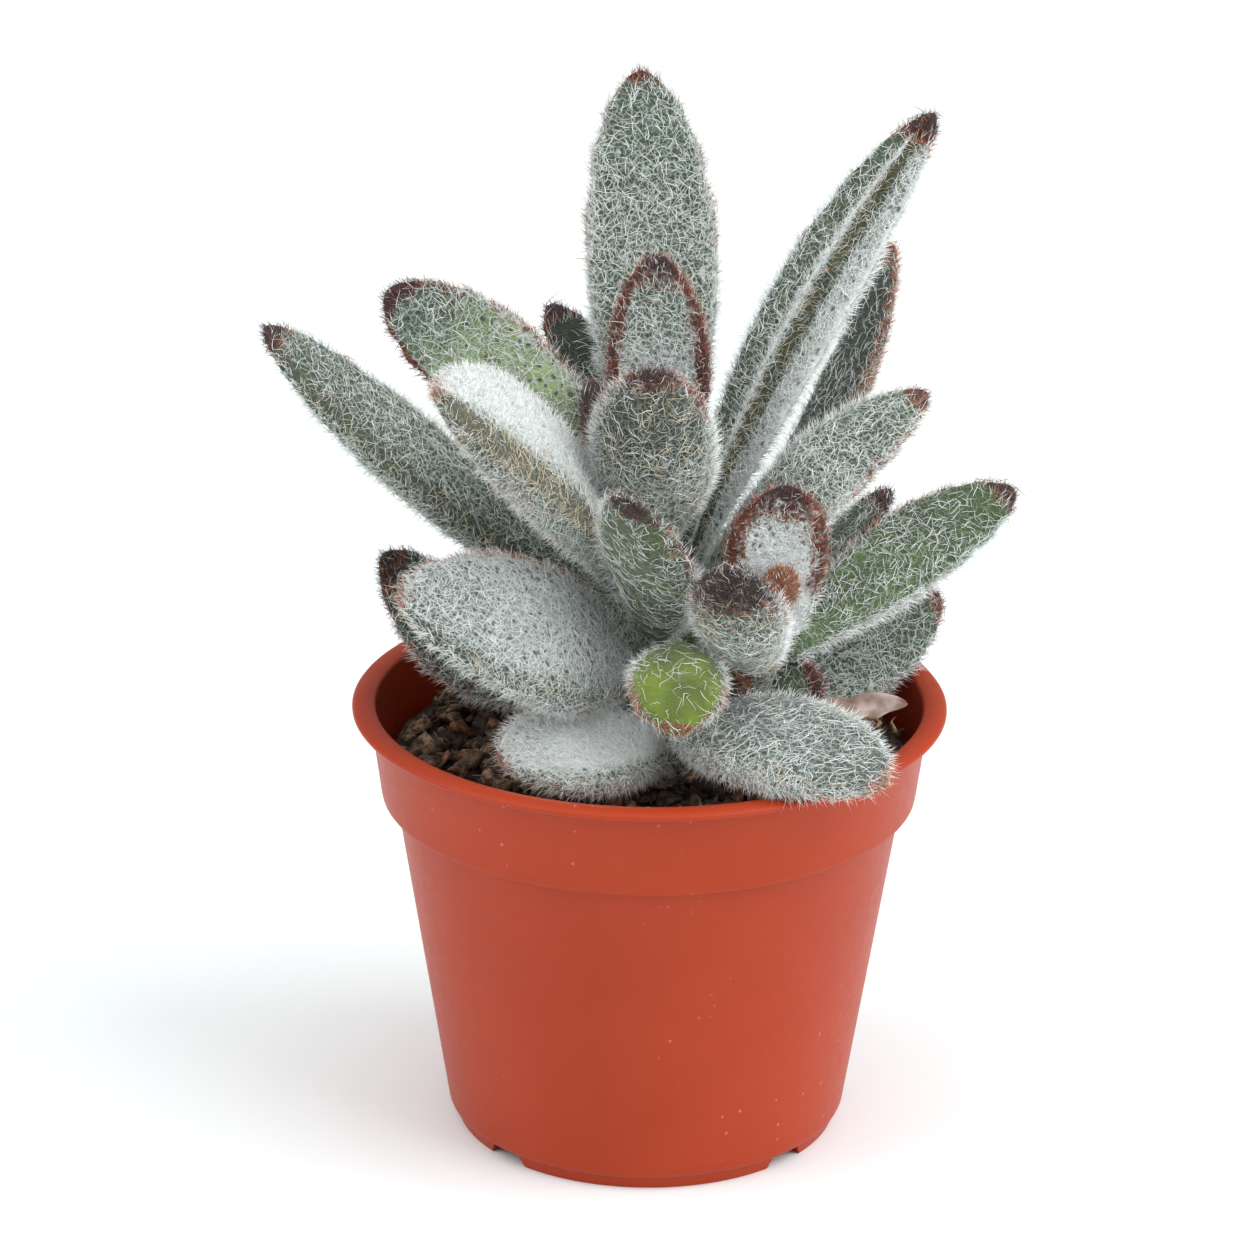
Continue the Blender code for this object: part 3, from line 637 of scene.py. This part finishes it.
def hair_tints(rng, stained, felt, straw, stain, tone):
    """The tint of each hair: white, silver or straw, and pink to nearly black where it is stained, with a few pale or
    tan ones among those: partly stray pale hairs, partly painted highlights that stand for glints of light on the dark
    hairs."""
    n = len(stained)
    pale = np.where(rng.random(n) < 0.45 + 0.5 * felt, WHITE, SILVER)
    pale = np.where(rng.random(n) < straw, STRAW, pale)
    depth = tone * (0.55 + 0.45 * smoothstep(0.2, 0.9, stain)) + rng.normal(0, 0.13, n)
    deep = np.select((depth < 0.12, depth < 0.24, depth < 0.46, depth < 0.68), (PINK, TAN, RUST, MAROON), DARK)
    # A few stained hairs get a pale or tan tint: partly stray pale hairs, partly painted highlights standing for glints
    # on the dark hairs.
    stray_and_glint = rng.random(n)
    deep = np.where(stray_and_glint < 0.08, TAN, np.where(stray_and_glint < 0.17, pale, deep))
    return np.where(stained, deep, pale)


def leaf_coat(name, skin, u, c, s, shapes, paints, seed):
    """The hairs of one leaf: a lying web on its faces, and a standing pile round its margins and tip."""
    rng = np.random.default_rng(seed)
    settings = bpy.context.scene.panda_coat
    points, triangles = arrays_of(skin)
    points, normals = points / MM, normals_of(skin)
    along = leaf_axes(LEAVES[name])[2]
    felt, stain, dark = dress_masks(name, u, c, s)
    straw = straw_share(name, c, s)
    fold = np.exp(-((from_seam(name, c, s) / 0.08 + 0.6) ** 2)) * (s > 0) * (name in FOLDED)
    fields = (u, abs(c), fold, straw, felt, stain, dark)

    def web_density(u, c, fold, straw, felt, stain, dark):
        bare = (1 - 0.6 * smoothstep(0.4, 0.9, stain)) * smoothstep(0.05, 0.35, felt)
        return settings.web * (0.95 - 0.15 * felt) * bare * (0.35 + 0.65 * smoothstep(0.04, 0.20, u))

    def pile_density(u, c, fold, straw, felt, stain, dark):
        edge = np.maximum(np.maximum(smoothstep(0.80, 0.97, c), smoothstep(0.94, 0.99, u)), 1.5 * fold)
        edge = np.maximum(edge, smoothstep(0.25, 0.6, stain)) * (0.4 + 0.6 * smoothstep(0.04, 0.20, u))
        return settings.pile * np.maximum(edge, 0.45 * smoothstep(0.70, 1.0, felt))

    made, faces, which = [], [], []
    offset = 0
    for shape, density in zip(shapes, (web_density, pile_density)):
        root, normal, (_, cc, _, sw, ff, st, dk) = scatter(rng, points, triangles, normals, fields, density)
        n = len(root)
        stained = rng.random(n) < smoothstep(0.05, 0.80, st) * (0.65 if density is web_density else 1)
        if density is web_density:
            way = turned_way(rng, normal, along, 1.3)
            rise = np.clip(rng.normal(0.40, 0.10, n), 0.15, 0.7)
            fall = rise * rng.uniform(0.65, 1.05, n)
            curl, wave = rng.normal(0, 0.45, n), rng.normal(0, 0.10, n)
            long = rng.uniform(0.70, 1.30, n) * settings.long
            thick = rng.uniform(0.8, 1.2, n) * settings.thick / 2
        else:
            way = turned_way(rng, normal, along, 0.8)
            rise = np.clip(rng.normal(0.78, 0.15, n) - 0.14 * stained, 0.25, 0.98)
            fall, curl, wave = 0 * rise, 0 * rise, 0 * rise
            long = rng.uniform(0.45, 0.90, n) * settings.long * np.where(stained, 0.78, 1.08)
            thick = rng.uniform(0.75, 1.1, n) * settings.thick / 2
        if density is pile_density:
            sw = sw * (1 - smoothstep(0.75, 0.95, cc))
        tint = hair_tints(rng, stained, ff, sw, st, dk)
        body, tris = grow(shape, root, normal, way, long, thick, rise, fall, curl, wave)
        made.append(body)
        faces.append(tris + offset)
        which.append(np.repeat(tint, len(shape[1])))
        offset += len(body)
    obj = piece_of("coat_" + name, np.concatenate(made) * MM, np.concatenate(faces), paints, np.concatenate(which))
    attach(obj, "root")
    return obj


def turned(name, profile, steps):
    """A ring drawn out along a profile of (radius, height) in millimetres, and closed at the axis."""
    nothing_selected()
    bpy.ops.mesh.primitive_circle_add(vertices=steps, radius=profile[0][0] * MM, location=(0, 0, 0))
    obj = bpy.context.object
    obj.name = obj.data.name = name
    bpy.ops.object.mode_set(mode="EDIT")
    bpy.ops.mesh.select_all(action="SELECT")
    bpy.ops.transform.translate(value=(0, 0, profile[0][1] * MM))
    for (r0, z0), (r1, z1) in zip(profile, profile[1:]):
        bpy.ops.mesh.extrude_region_move()
        bpy.ops.transform.resize(value=(r1 / r0, r1 / r0, 1), center_override=(0, 0, z0 * MM))
        bpy.ops.transform.translate(value=(0, 0, (z1 - z0) * MM))
    for _ in range(2):
        bpy.ops.mesh.select_all(action="DESELECT")
        bpy.ops.mesh.select_non_manifold()
        bpy.ops.mesh.edge_face_add()
    bpy.ops.mesh.select_all(action="SELECT")
    bpy.ops.mesh.normals_make_consistent(inside=False)
    bpy.ops.object.mode_set(mode="OBJECT")
    return obj


def cut(obj, cutter):
    only(obj)
    bpy.ops.object.modifier_add(type="BOOLEAN")
    modifier = obj.modifiers[-1]
    modifier.operation, modifier.solver, modifier.object = "DIFFERENCE", "EXACT", cutter
    bpy.ops.object.modifier_apply(modifier=modifier.name)
    bpy.data.objects.remove(cutter)


# Half a section through the pot's wall: radius and height, in millimetres, up the inside and down the outside.
POT_PROFILE = (
    (14.0, 5.2), (30.0, 5.2), (33.0, 5.2), (33.9, 5.35), (34.5, 5.8), (34.8, 6.4), (43.7, 61.0), (44.1, 62.4),
    (44.8, 63.1), (46.3, 63.4), (48.2, 76.9), (48.3, 78.5), (48.45, 78.95), (48.8, 79.2), (50.4, 79.4),
    (51.6, 79.25), (52.2, 79.0), (52.5, 78.6), (52.5, 78.3), (52.3, 78.0), (51.8, 77.8), (50.3, 77.62),
    (49.6, 77.3), (49.3, 76.7), (47.5, 63.1), (47.35, 62.4), (47.1, 62.05), (46.6, 61.9), (45.5, 61.85),
    (45.1, 61.7), (44.85, 61.2), (35.9, 4.2), (35.75, 3.3), (35.5, 2.75), (35.1, 2.4), (34.75, 2.2), (34.6, 1.9),
    (34.3, 0.35), (34.2, 0.1), (34.0, 0.0), (33.2, 0.0), (33.0, 0.2), (32.8, 3.6), (14.0, 3.6),
)
FOOT_R = 34.3
# Notches of the foot ring: their turns from the front in degrees, width, depth into the ring and height.
NOTCH_AT, NOTCH_WIDE, NOTCH_DEEP, NOTCH_HIGH = (46, 134, -134, -46), 9.0, 6.0, 4.0
DRAINS, DRAIN_R, DRAIN_AT, DRAIN_TURN = 6, 2.6, 21.0, 17.0
BED_RINGS = (1.5, 4, 7, 10, 13, 16, 19, 22, 25, 28, 31, 34, 37, 40, 43, 45.4)
BED_TOP = SOIL_TOP - 0.4
SOIL_PROFILE = tuple((r, BED_TOP) for r in BED_RINGS) + (
    (45.6, 64.4), (42.6, 60.0), (33.0, 7.0), (14.0, 5.6),
)


def ready(obj, slot, *nodes):
    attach(obj, "root")
    if nodes:
        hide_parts(*nodes)
    return obj


class PandaCoat(bpy.types.PropertyGroup):
    """Hairs of the leaves."""

    long: FloatProperty(
        name="Hair length", description="Length of a lying hair, in millimetres", default=3.3, min=0.5, max=6
    )
    thick: FloatProperty(
        name="Hair thickness", description="Across a hair, in millimetres", default=0.15, min=0.05, max=0.5
    )
    web: FloatProperty(
        name="Web", description="Lying hairs to the square millimetre", default=0.70, min=0, max=4
    )
    pile: FloatProperty(
        name="Pile", description="Standing hairs to the square millimetre of margin", default=5.6, min=0, max=12
    )


class PandaPot(bpy.types.PropertyGroup):
    """The nursery pot."""

    colour: FloatVectorProperty(
        name="Plastic", description="Colour of the moulded plastic", subtype="COLOR",
        default=(0.352, 0.033, 0.005), min=0, max=1,
    )
    steps: IntProperty(name="Steps", description="Steps round the pot", default=144, min=24, max=360)


class PandaSoil(bpy.types.PropertyGroup):
    """Bark soil."""

    chips: IntProperty(name="Chips", description="Loose bark chips on the soil", default=520, min=0, max=2000)
    fibres: IntProperty(name="Fibres", description="Thin root and bark fibres", default=110, min=0, max=1000)
    shreds: IntProperty(name="Shreds", description="Curled shreds of dead leaf", default=12, min=0, max=100)
    dark: FloatVectorProperty(
        name="Dark", description="Damp bark", subtype="COLOR", default=(0.026, 0.016, 0.010), min=0, max=1
    )
    pale: FloatVectorProperty(
        name="Pale", description="Dry grain", subtype="COLOR", default=(0.42, 0.27, 0.17), min=0, max=1
    )


class PandaStage(bpy.types.PropertyGroup):
    """Floor, lights and camera."""

    floor: FloatVectorProperty(
        name="Floor", description="Colour of the floor", subtype="COLOR", default=(0.87, 0.93, 0.94), min=0, max=1
    )
    pitch: FloatProperty(
        name="Pitch", description="How far the camera looks down", subtype="ANGLE", default=math.radians(21.24)
    )
    roll: FloatProperty(name="Roll", description="Tilt of the camera", subtype="ANGLE", default=0.0078)
    distance: FloatProperty(
        name="Distance", description="From the camera to the plant", subtype="DISTANCE", unit="LENGTH", default=0.9
    )
    lens: FloatProperty(name="Lens", description="Focal length in millimetres", default=147.04)
    aim: FloatVectorProperty(
        name="Aim", description="What the camera looks at", subtype="XYZ", unit="LENGTH",
        default=(-0.00407, 0.0, 0.09262),
    )


# Lamps: name, place in metres, size in metres, power in watts.
LAMPS = (
    ("right", (1.15, -0.45, 0.85), 1.4, 20.0),
    ("left", (-1.20, -0.35, 0.80), 1.2, 9.6),
)
LAMPS_AIM = (0, 0, 0.09)
WORLD_STRENGTH = 0.45
# The soft light from above: the way to it, its strength and how wide it is in degrees.
SKY_FROM, SKY_STRENGTH, SKY_WIDE = (0.10, -0.12, 1), 1.34, 100


class PANDA_OT_stage(bpy.types.Operator):
    """Pale floor, soft studio lights and the camera"""

    bl_idname = "panda.stage"
    bl_label = "Stage"

    def execute(self, context):
        settings = context.scene.panda_stage
        nothing_selected()
        bpy.ops.mesh.primitive_circle_add(vertices=64, radius=6, fill_type="NGON", location=(0, 0, 0))
        floor = context.object
        floor.name = floor.data.name = "floor"
        floor.data.materials.append(paint("floor_paper", 0.95, tuple(settings.floor))[0])
        world = bpy.data.worlds.new("studio")
        world.use_nodes = True
        world.node_tree.nodes["Background"].inputs["Color"].default_value = (1, 1, 1, 1)
        world.node_tree.nodes["Background"].inputs["Strength"].default_value = WORLD_STRENGTH
        context.scene.world = world
        for name, at, size, power in LAMPS:
            nothing_selected()
            bpy.ops.object.light_add(type="AREA", location=at)
            lamp = context.object
            lamp.name = lamp.data.name = name
            lamp.data.size, lamp.data.energy = size, power
            lamp.rotation_euler = (Vector(LAMPS_AIM) - Vector(at)).to_track_quat("-Z", "Y").to_euler()
        nothing_selected()
        bpy.ops.object.light_add(type="SUN", location=(0, 0.2, 1.6))
        sky = context.object
        sky.name = sky.data.name = "overhead"
        sky.data.energy, sky.data.angle = SKY_STRENGTH, math.radians(SKY_WIDE)
        sky.rotation_euler = (-Vector(SKY_FROM)).to_track_quat("-Z", "Y").to_euler()
        nothing_selected()
        bpy.ops.object.camera_add()
        camera = context.object
        camera.name = camera.data.name = "camera"
        camera.data.lens = settings.lens
        camera.data.clip_end = 20
        e, roll = settings.pitch, settings.roll
        back = Vector((0, -math.cos(e), math.sin(e)))
        across, up = Vector((1, 0, 0)), Vector((0, math.sin(e), math.cos(e)))
        right, top = math.cos(roll) * across + math.sin(roll) * up, math.cos(roll) * up - math.sin(roll) * across
        turn = Matrix((right, top, back)).transposed().to_4x4()
        camera.matrix_world = Matrix.Translation(Vector(settings.aim) + settings.distance * back) @ turn
        context.scene.camera = camera
        context.scene.view_settings.view_transform = "Standard"
        return {"FINISHED"}


class PANDA_OT_pot(bpy.types.Operator):
    """The nursery pot, with its rolled rim, collar, foot notches and drain holes"""

    bl_idname = "panda.pot"
    bl_label = "Pot"

    def execute(self, context):
        obj = turned("pot_shell", POT_PROFILE, context.scene.panda_pot.steps)
        for at in NOTCH_AT:
            nothing_selected()
            bpy.ops.mesh.primitive_cube_add(size=1, location=(0, 0, 0))
            cutter = context.object
            for vert in cutter.data.vertices:
                wide = NOTCH_WIDE * (1.15 if vert.co.z < 0 else 0.7)
                x, y, z = vert.co.x * wide, vert.co.y * NOTCH_DEEP - FOOT_R + 1, vert.co.z * NOTCH_HIGH + 0.25
                vert.co = Matrix.Rotation(math.radians(at), 3, "Z") @ Vector((x, y, z)) * MM
            cut(obj, cutter)
        for i in range(DRAINS):
            a = math.radians(DRAIN_TURN + 360 / DRAINS * i)
            nothing_selected()
            bpy.ops.mesh.primitive_cylinder_add(
                vertices=28, radius=DRAIN_R * MM, depth=6 * MM,
                location=(DRAIN_AT * math.sin(a) * MM, -DRAIN_AT * math.cos(a) * MM, 4.4 * MM),
            )
            cut(obj, context.object)
        only(obj)
        bpy.ops.object.shade_smooth_by_angle(angle=math.radians(38))
        obj.data.materials.append(plastic_paint())
        ready(obj, "pot_plastic", "pot")
        return {"FINISHED"}


BED_BROKEN_ABOVE = 0.066
CHIP_SPREAD, CHIP_REACH = 44.5, 45.6
CHIP_KINDS = (0.48, 0.32, 0.20)  # shares of dark, brown and red bark


def soil_bed(dark, pale):
    """The filled bed, with its top broken up."""
    bed = turned("soil_bed", SOIL_PROFILE, 64)
    points, _ = arrays_of(bed)
    for p in points:
        if p[2] > BED_BROKEN_ABOVE:
            p[2] += 0.0016 * noise.noise(Vector(p) * 260) + 0.0009 * noise.noise(Vector(p) * 700) - 0.0006
    set_points(bed, points)
    peat = bark_paint("soil_peat", tuple(0.7 * d for d in dark), tuple(0.6 * c for c in pale), 900.0)
    bed.data.materials.append(peat)
    ready(bed, "soil_bark", "soil")


def bark_chip(rng, ball, i):
    """A ball made uneven, broken flat on six sides, drawn out and laid on the soil, in millimetres."""
    a, r = rng.uniform(0, math.tau), CHIP_SPREAD * math.sqrt(rng.uniform(0.02, 1))
    long = rng.uniform(2.4, 6.4) * (1.3 if rng.random() < 0.15 else 1)
    wide, thick = long * rng.uniform(0.35, 0.75), long * rng.uniform(0.25, 0.50)
    seat = SOIL_TOP - 0.5 + 0.25 * thick + rng.uniform(-0.2, 1.0)
    seed = Vector((i * 3.1, 0, 0))
    bumps = [
        1 + 0.55 * noise.noise(Vector(b) * 3.2 + seed) + 0.30 * noise.noise(Vector(b) * 9 + seed) for b in ball
    ]
    body = ball * np.array(bumps)[:, None]
    for _ in range(6):
        broken = unit(rng.normal(0, 1, 3))
        body = body - np.outer(np.maximum(0, body @ broken - rng.uniform(0.16, 0.34)), broken)
    body = body * (long, wide, thick) * 1.35
    turn = Matrix.Rotation(rng.uniform(0, math.tau), 3, "Z") @ Matrix.Rotation(rng.normal(0, 0.45), 3, "X")
    turn = np.array(turn @ Matrix.Rotation(rng.normal(0, 0.4), 3, "Y"))
    r = min(r, CHIP_REACH - long / 2)
    return body @ turn.T + (r * math.sin(a), -r * math.cos(a), seat)


def lay_strands(rng, name, root, longest, long, thick, rise, fall, curl, wave, made):
    """Bent strands lying any way round: a pair is the range of a draw, and curl and wave are spreads."""
    n = len(root)
    turn = rng.uniform(0, math.tau, n)
    way = np.stack((np.cos(turn), np.sin(turn), 0 * turn), 1)
    body, tris = grow(
        strand((0.2, 0.4, 0.6, 0.8)), root, np.tile((0.0, 0.0, 1.0), (n, 1)), way,
        np.minimum(rng.uniform(*long, n), longest), rng.uniform(*thick, n),
        rng.uniform(*rise, n), rng.uniform(*fall, n), rng.normal(0, curl, n), rng.normal(0, wave, n),
    )
    ready(piece_of(name, body * MM, tris, [made]), "soil_bark")


class PANDA_OT_soil(bpy.types.Operator):
    """The bed of the soil, loose bark chips, thin fibres and curled shreds of dead leaf"""

    bl_idname = "panda.soil"
    bl_label = "Soil"

    def execute(self, context):
        settings = context.scene.panda_soil
        dark, pale = tuple(settings.dark), tuple(settings.pale)
        soil_bed(dark, pale)
        nothing_selected()
        bpy.ops.mesh.primitive_ico_sphere_add(subdivisions=2, radius=0.5, location=(0, 0, 0))
        ball, triangles = arrays_of(context.object)
        bpy.data.objects.remove(context.object)
        rng = np.random.default_rng(7)
        made, faces, which = [], [], []
        for i in range(settings.chips):
            made.append(bark_chip(rng, ball, i))
            faces.append(triangles + i * len(ball))
            which += [int(rng.choice(3, p=CHIP_KINDS))] * len(triangles)
        barks = [
            bark_paint("bark_dark", dark, pale, 620.0),
            bark_paint("bark_brown", (0.040, 0.022, 0.013), (0.44, 0.27, 0.16), 700.0),
            bark_paint("bark_red", (0.085, 0.032, 0.015), (0.42, 0.20, 0.10), 560.0),
        ]
        chips = piece_of("bark_chips", np.concatenate(made) * MM, np.concatenate(faces), barks, which)
        ready(chips, "soil_bark")
        n = settings.fibres
        a, r = rng.uniform(0, math.tau, n), 43 * np.sqrt(rng.uniform(0.1, 1, n))
        root = np.stack((r * np.sin(a), -r * np.cos(a), SOIL_TOP + rng.uniform(0.2, 1.6, n)), 1)
        fibre = paint("bark_fibre", 0.8, (0.20, 0.13, 0.075))[0]
        lay_strands(
            rng, "soil_fibres", root, 46 - r + 2, (3, 9), (0.08, 0.2), (0.1, 0.5), (0.1, 0.5), 0.5, 0.08, fibre
        )
        # The shreds lie in front of the dry leaf.
        n = settings.shreds
        x, y = rng.uniform(35, 44.5, n), rng.uniform(-8.5, -3.0, n)
        root = np.stack((x, y, SOIL_TOP + rng.uniform(2.5, 6.0, n)), 1)
        shred = bark_paint("shred", (0.20, 0.11, 0.05), (0.62, 0.44, 0.26), 420.0)
        lay_strands(
            rng, "dead_shreds", root, math.inf, (3.5, 6.0), (0.25, 0.60), (0.3, 0.8), (0.3, 0.9), 1.2, 0.12, shred
        )
        return {"FINISHED"}


class PANDA_OT_leaves(bpy.types.Operator):
    """The leaves: a felted skin for each, and its coat of hairs"""

    bl_idname = "panda.leaves"
    bl_label = "Leaves"

    def execute(self, context):
        felts = {slot: felt_paint("felt_" + slot) for slot in ("leaf_silver", "leaf_green", "leaf_young")}
        paints = hair_paints()
        shapes = strand((0.27, 0.52, 0.77)), strand(())
        for i, name in enumerate(DRESS):
            skin, u, c, s = leaf_skin(name, felts[DRESS[name][0]])
            leaf_coat(name, skin, u, c, s, shapes, paints, 100 + i)
        return {"FINISHED"}


class PANDA_OT_dry_leaf(bpy.types.Operator):
    """The dead leaf that lies on the soil"""

    bl_idname = "panda.dry_leaf"
    bl_label = "Dry leaf"

    def execute(self, context):
        obj, v, c, s = sphere_round("dry_leaf", 24, 36)
        u = crowded(v)
        points = leaf_points(LEAVES["dry"], u, c, s)
        _, _, _, face, side = leaf_axes(LEAVES["dry"])
        ribs = np.array([noise.noise(Vector((5 * b, 2.2 * a, 0))) for a, b in zip(u, c)])
        crumple = np.array([noise.noise(Vector((1.3 * b, 7.0 * a, 4))) for a, b in zip(u, c)])
        waist = np.sin(np.pi * u)
        points = points + np.outer((2.0 * ribs + 2.4 * crumple) * waist, face) + np.outer(2.2 * crumple * waist, side)
        set_points(obj, points * MM)
        bpy.ops.object.shade_smooth()
        obj.data.materials.append(withered_paint())
        ready(obj, "dry_leaf", "leaf_dry")
        return {"FINISHED"}


# Hairs to the square millimetre, and the share of each tint, on the stems and on the buds.
STEM_HAIRS, STEM_TINTS = 0.8, (0.5, 0.4, 0.1, 0, 0, 0, 0, 0)
BUD_HAIRS, BUD_TINTS = 5.0, (0.03, 0, 0.12, 0, 0.36, 0.30, 0.12, 0.07)


def short_hairs(name, skin, shape, paints, seed, density, shares, slot):
    """The short hairs of a stem or a bud."""
    rng = np.random.default_rng(seed)
    points, triangles = arrays_of(skin)
    points = points / MM
    root, normal, _ = scatter(rng, points, triangles, normals_of(skin), (points[:, 2],), density)
    n = len(root)
    way = turned_way(rng, normal, np.tile((0.0, 0.0, 1.0), (n, 1)), 0.6)
    body, tris = grow(
        shape, root, normal, way, rng.uniform(1.0, 1.7, n), rng.uniform(0.07, 0.1, n),
        np.clip(rng.normal(0.78, 0.15, n), 0.3, 0.98), rng.normal(0.05, 0.1, n), rng.normal(0, 0.2, n), np.zeros(n),
    )
    which = np.repeat(rng.choice(len(HAIR_TINTS), size=n, p=shares), len(shape[1]))
    return ready(piece_of(name, body * MM, tris, paints, which), slot)


def felted(obj, points, masks, ground, felt):
    """Gives a ball its shape, the same masks and ground all over, and its felt."""
    set_points(obj, points * MM)
    bpy.ops.object.shade_smooth()
    add_colours(obj, "masks", np.tile(masks, (len(points), 1)))
    add_colours(obj, "ground", np.tile(ground, (len(points), 1)))
    obj.data.materials.append(felt)


class PANDA_OT_stems(bpy.types.Operator):
    """The short stems and the two buds, with their hairs"""

    bl_idname = "panda.stems"
    bl_label = "Stems and buds"

    def execute(self, context):
        paints = hair_paints()
        short = strand((0.5,))
        felt = felt_paint("felt_stem")
        for k, (shoot, (foot, head, foot_r, head_r, depth)) in enumerate(SHOOTS.items()):
            obj, v, c, s = sphere_round("skin_stem_" + shoot, 24, 24)
            low = SOIL_TOP - depth
            high = low + (head[2] - low) * v
            lean = np.clip((high - SOIL_TOP) / (head[2] - SOIL_TOP), 0, 1)
            wide = (foot_r + lean * (head_r - foot_r)) * np.sqrt(np.clip(1 - (2 * v - 1) ** 24, 0, 1))
            x = foot[0] + lean * (head[0] - foot[0]) + wide * c
            y = foot[1] + lean * (head[1] - foot[1]) + wide * s
            felted(obj, np.stack((x, y, high), 1), (0.55, 0.0, 0.5), (0.16, 0.17, 0.09), felt)
            ready(obj, "stem", "stem_" + shoot)
            short_hairs(
                "coat_stem_" + shoot, obj, short, paints, 500 + k,
                lambda z: STEM_HAIRS * (z > SOIL_TOP), STEM_TINTS, "stem",
            )
        for k, (name, (at, radius, tall, tone)) in enumerate(BUDS.items()):
            obj, _, _, _ = sphere_round("skin_" + name, 20, 16)
            points, _ = arrays_of(obj)
            points = np.array(at) + points * (radius, radius, radius * tall)
            felted(obj, points, (0.4, 1.0, tone), (0.16, 0.12, 0.05), felt)
            ready(obj, "bud", name)
            short_hairs("coat_" + name, obj, short, paints, 520 + k, lambda z: BUD_HAIRS + 0 * z, BUD_TINTS, "bud")
        return {"FINISHED"}


class PANDA_PT_panel(bpy.types.Panel):
    """The panda plant's pieces and their settings"""

    bl_label = "Panda Plant"
    bl_idname = "PANDA_PT_panel"
    bl_space_type = "VIEW_3D"
    bl_region_type = "UI"
    bl_category = "Panda Plant"

    def draw(self, context):
        for group, names in (
            ("panda_pot", ("colour", "steps")),
            ("panda_soil", ("chips", "fibres", "shreds", "dark", "pale")),
            ("panda_coat", ("long", "thick", "web", "pile")),
            ("panda_stage", ("floor", "pitch", "roll", "distance", "lens", "aim")),
        ):
            box = self.layout.box()
            for name in names:
                box.prop(getattr(context.scene, group), name)
        for operator in OPERATORS:
            self.layout.operator(operator.bl_idname)


GROUPS = {"panda_coat": PandaCoat, "panda_pot": PandaPot, "panda_soil": PandaSoil, "panda_stage": PandaStage}
OPERATORS = (PANDA_OT_stage, PANDA_OT_pot, PANDA_OT_soil, PANDA_OT_dry_leaf, PANDA_OT_stems, PANDA_OT_leaves)


def register():
    for group in GROUPS.values():
        bpy.utils.register_class(group)
    for name, group in GROUPS.items():
        setattr(bpy.types.Scene, name, PointerProperty(type=group))
    for operator in OPERATORS:
        bpy.utils.register_class(operator)
    bpy.utils.register_class(PANDA_PT_panel)


def unregister():
    bpy.utils.unregister_class(PANDA_PT_panel)
    for operator in reversed(OPERATORS):
        bpy.utils.unregister_class(operator)
    for name in GROUPS:
        delattr(bpy.types.Scene, name)
    for group in GROUPS.values():
        bpy.utils.unregister_class(group)


def main():
    register()
    bpy.ops.panda.stage()
    bpy.ops.panda.pot()
    bpy.ops.panda.soil()
    bpy.ops.panda.dry_leaf()
    bpy.ops.panda.stems()
    bpy.ops.panda.leaves()
    nothing_selected()


if __name__ == "__main__":
    main()
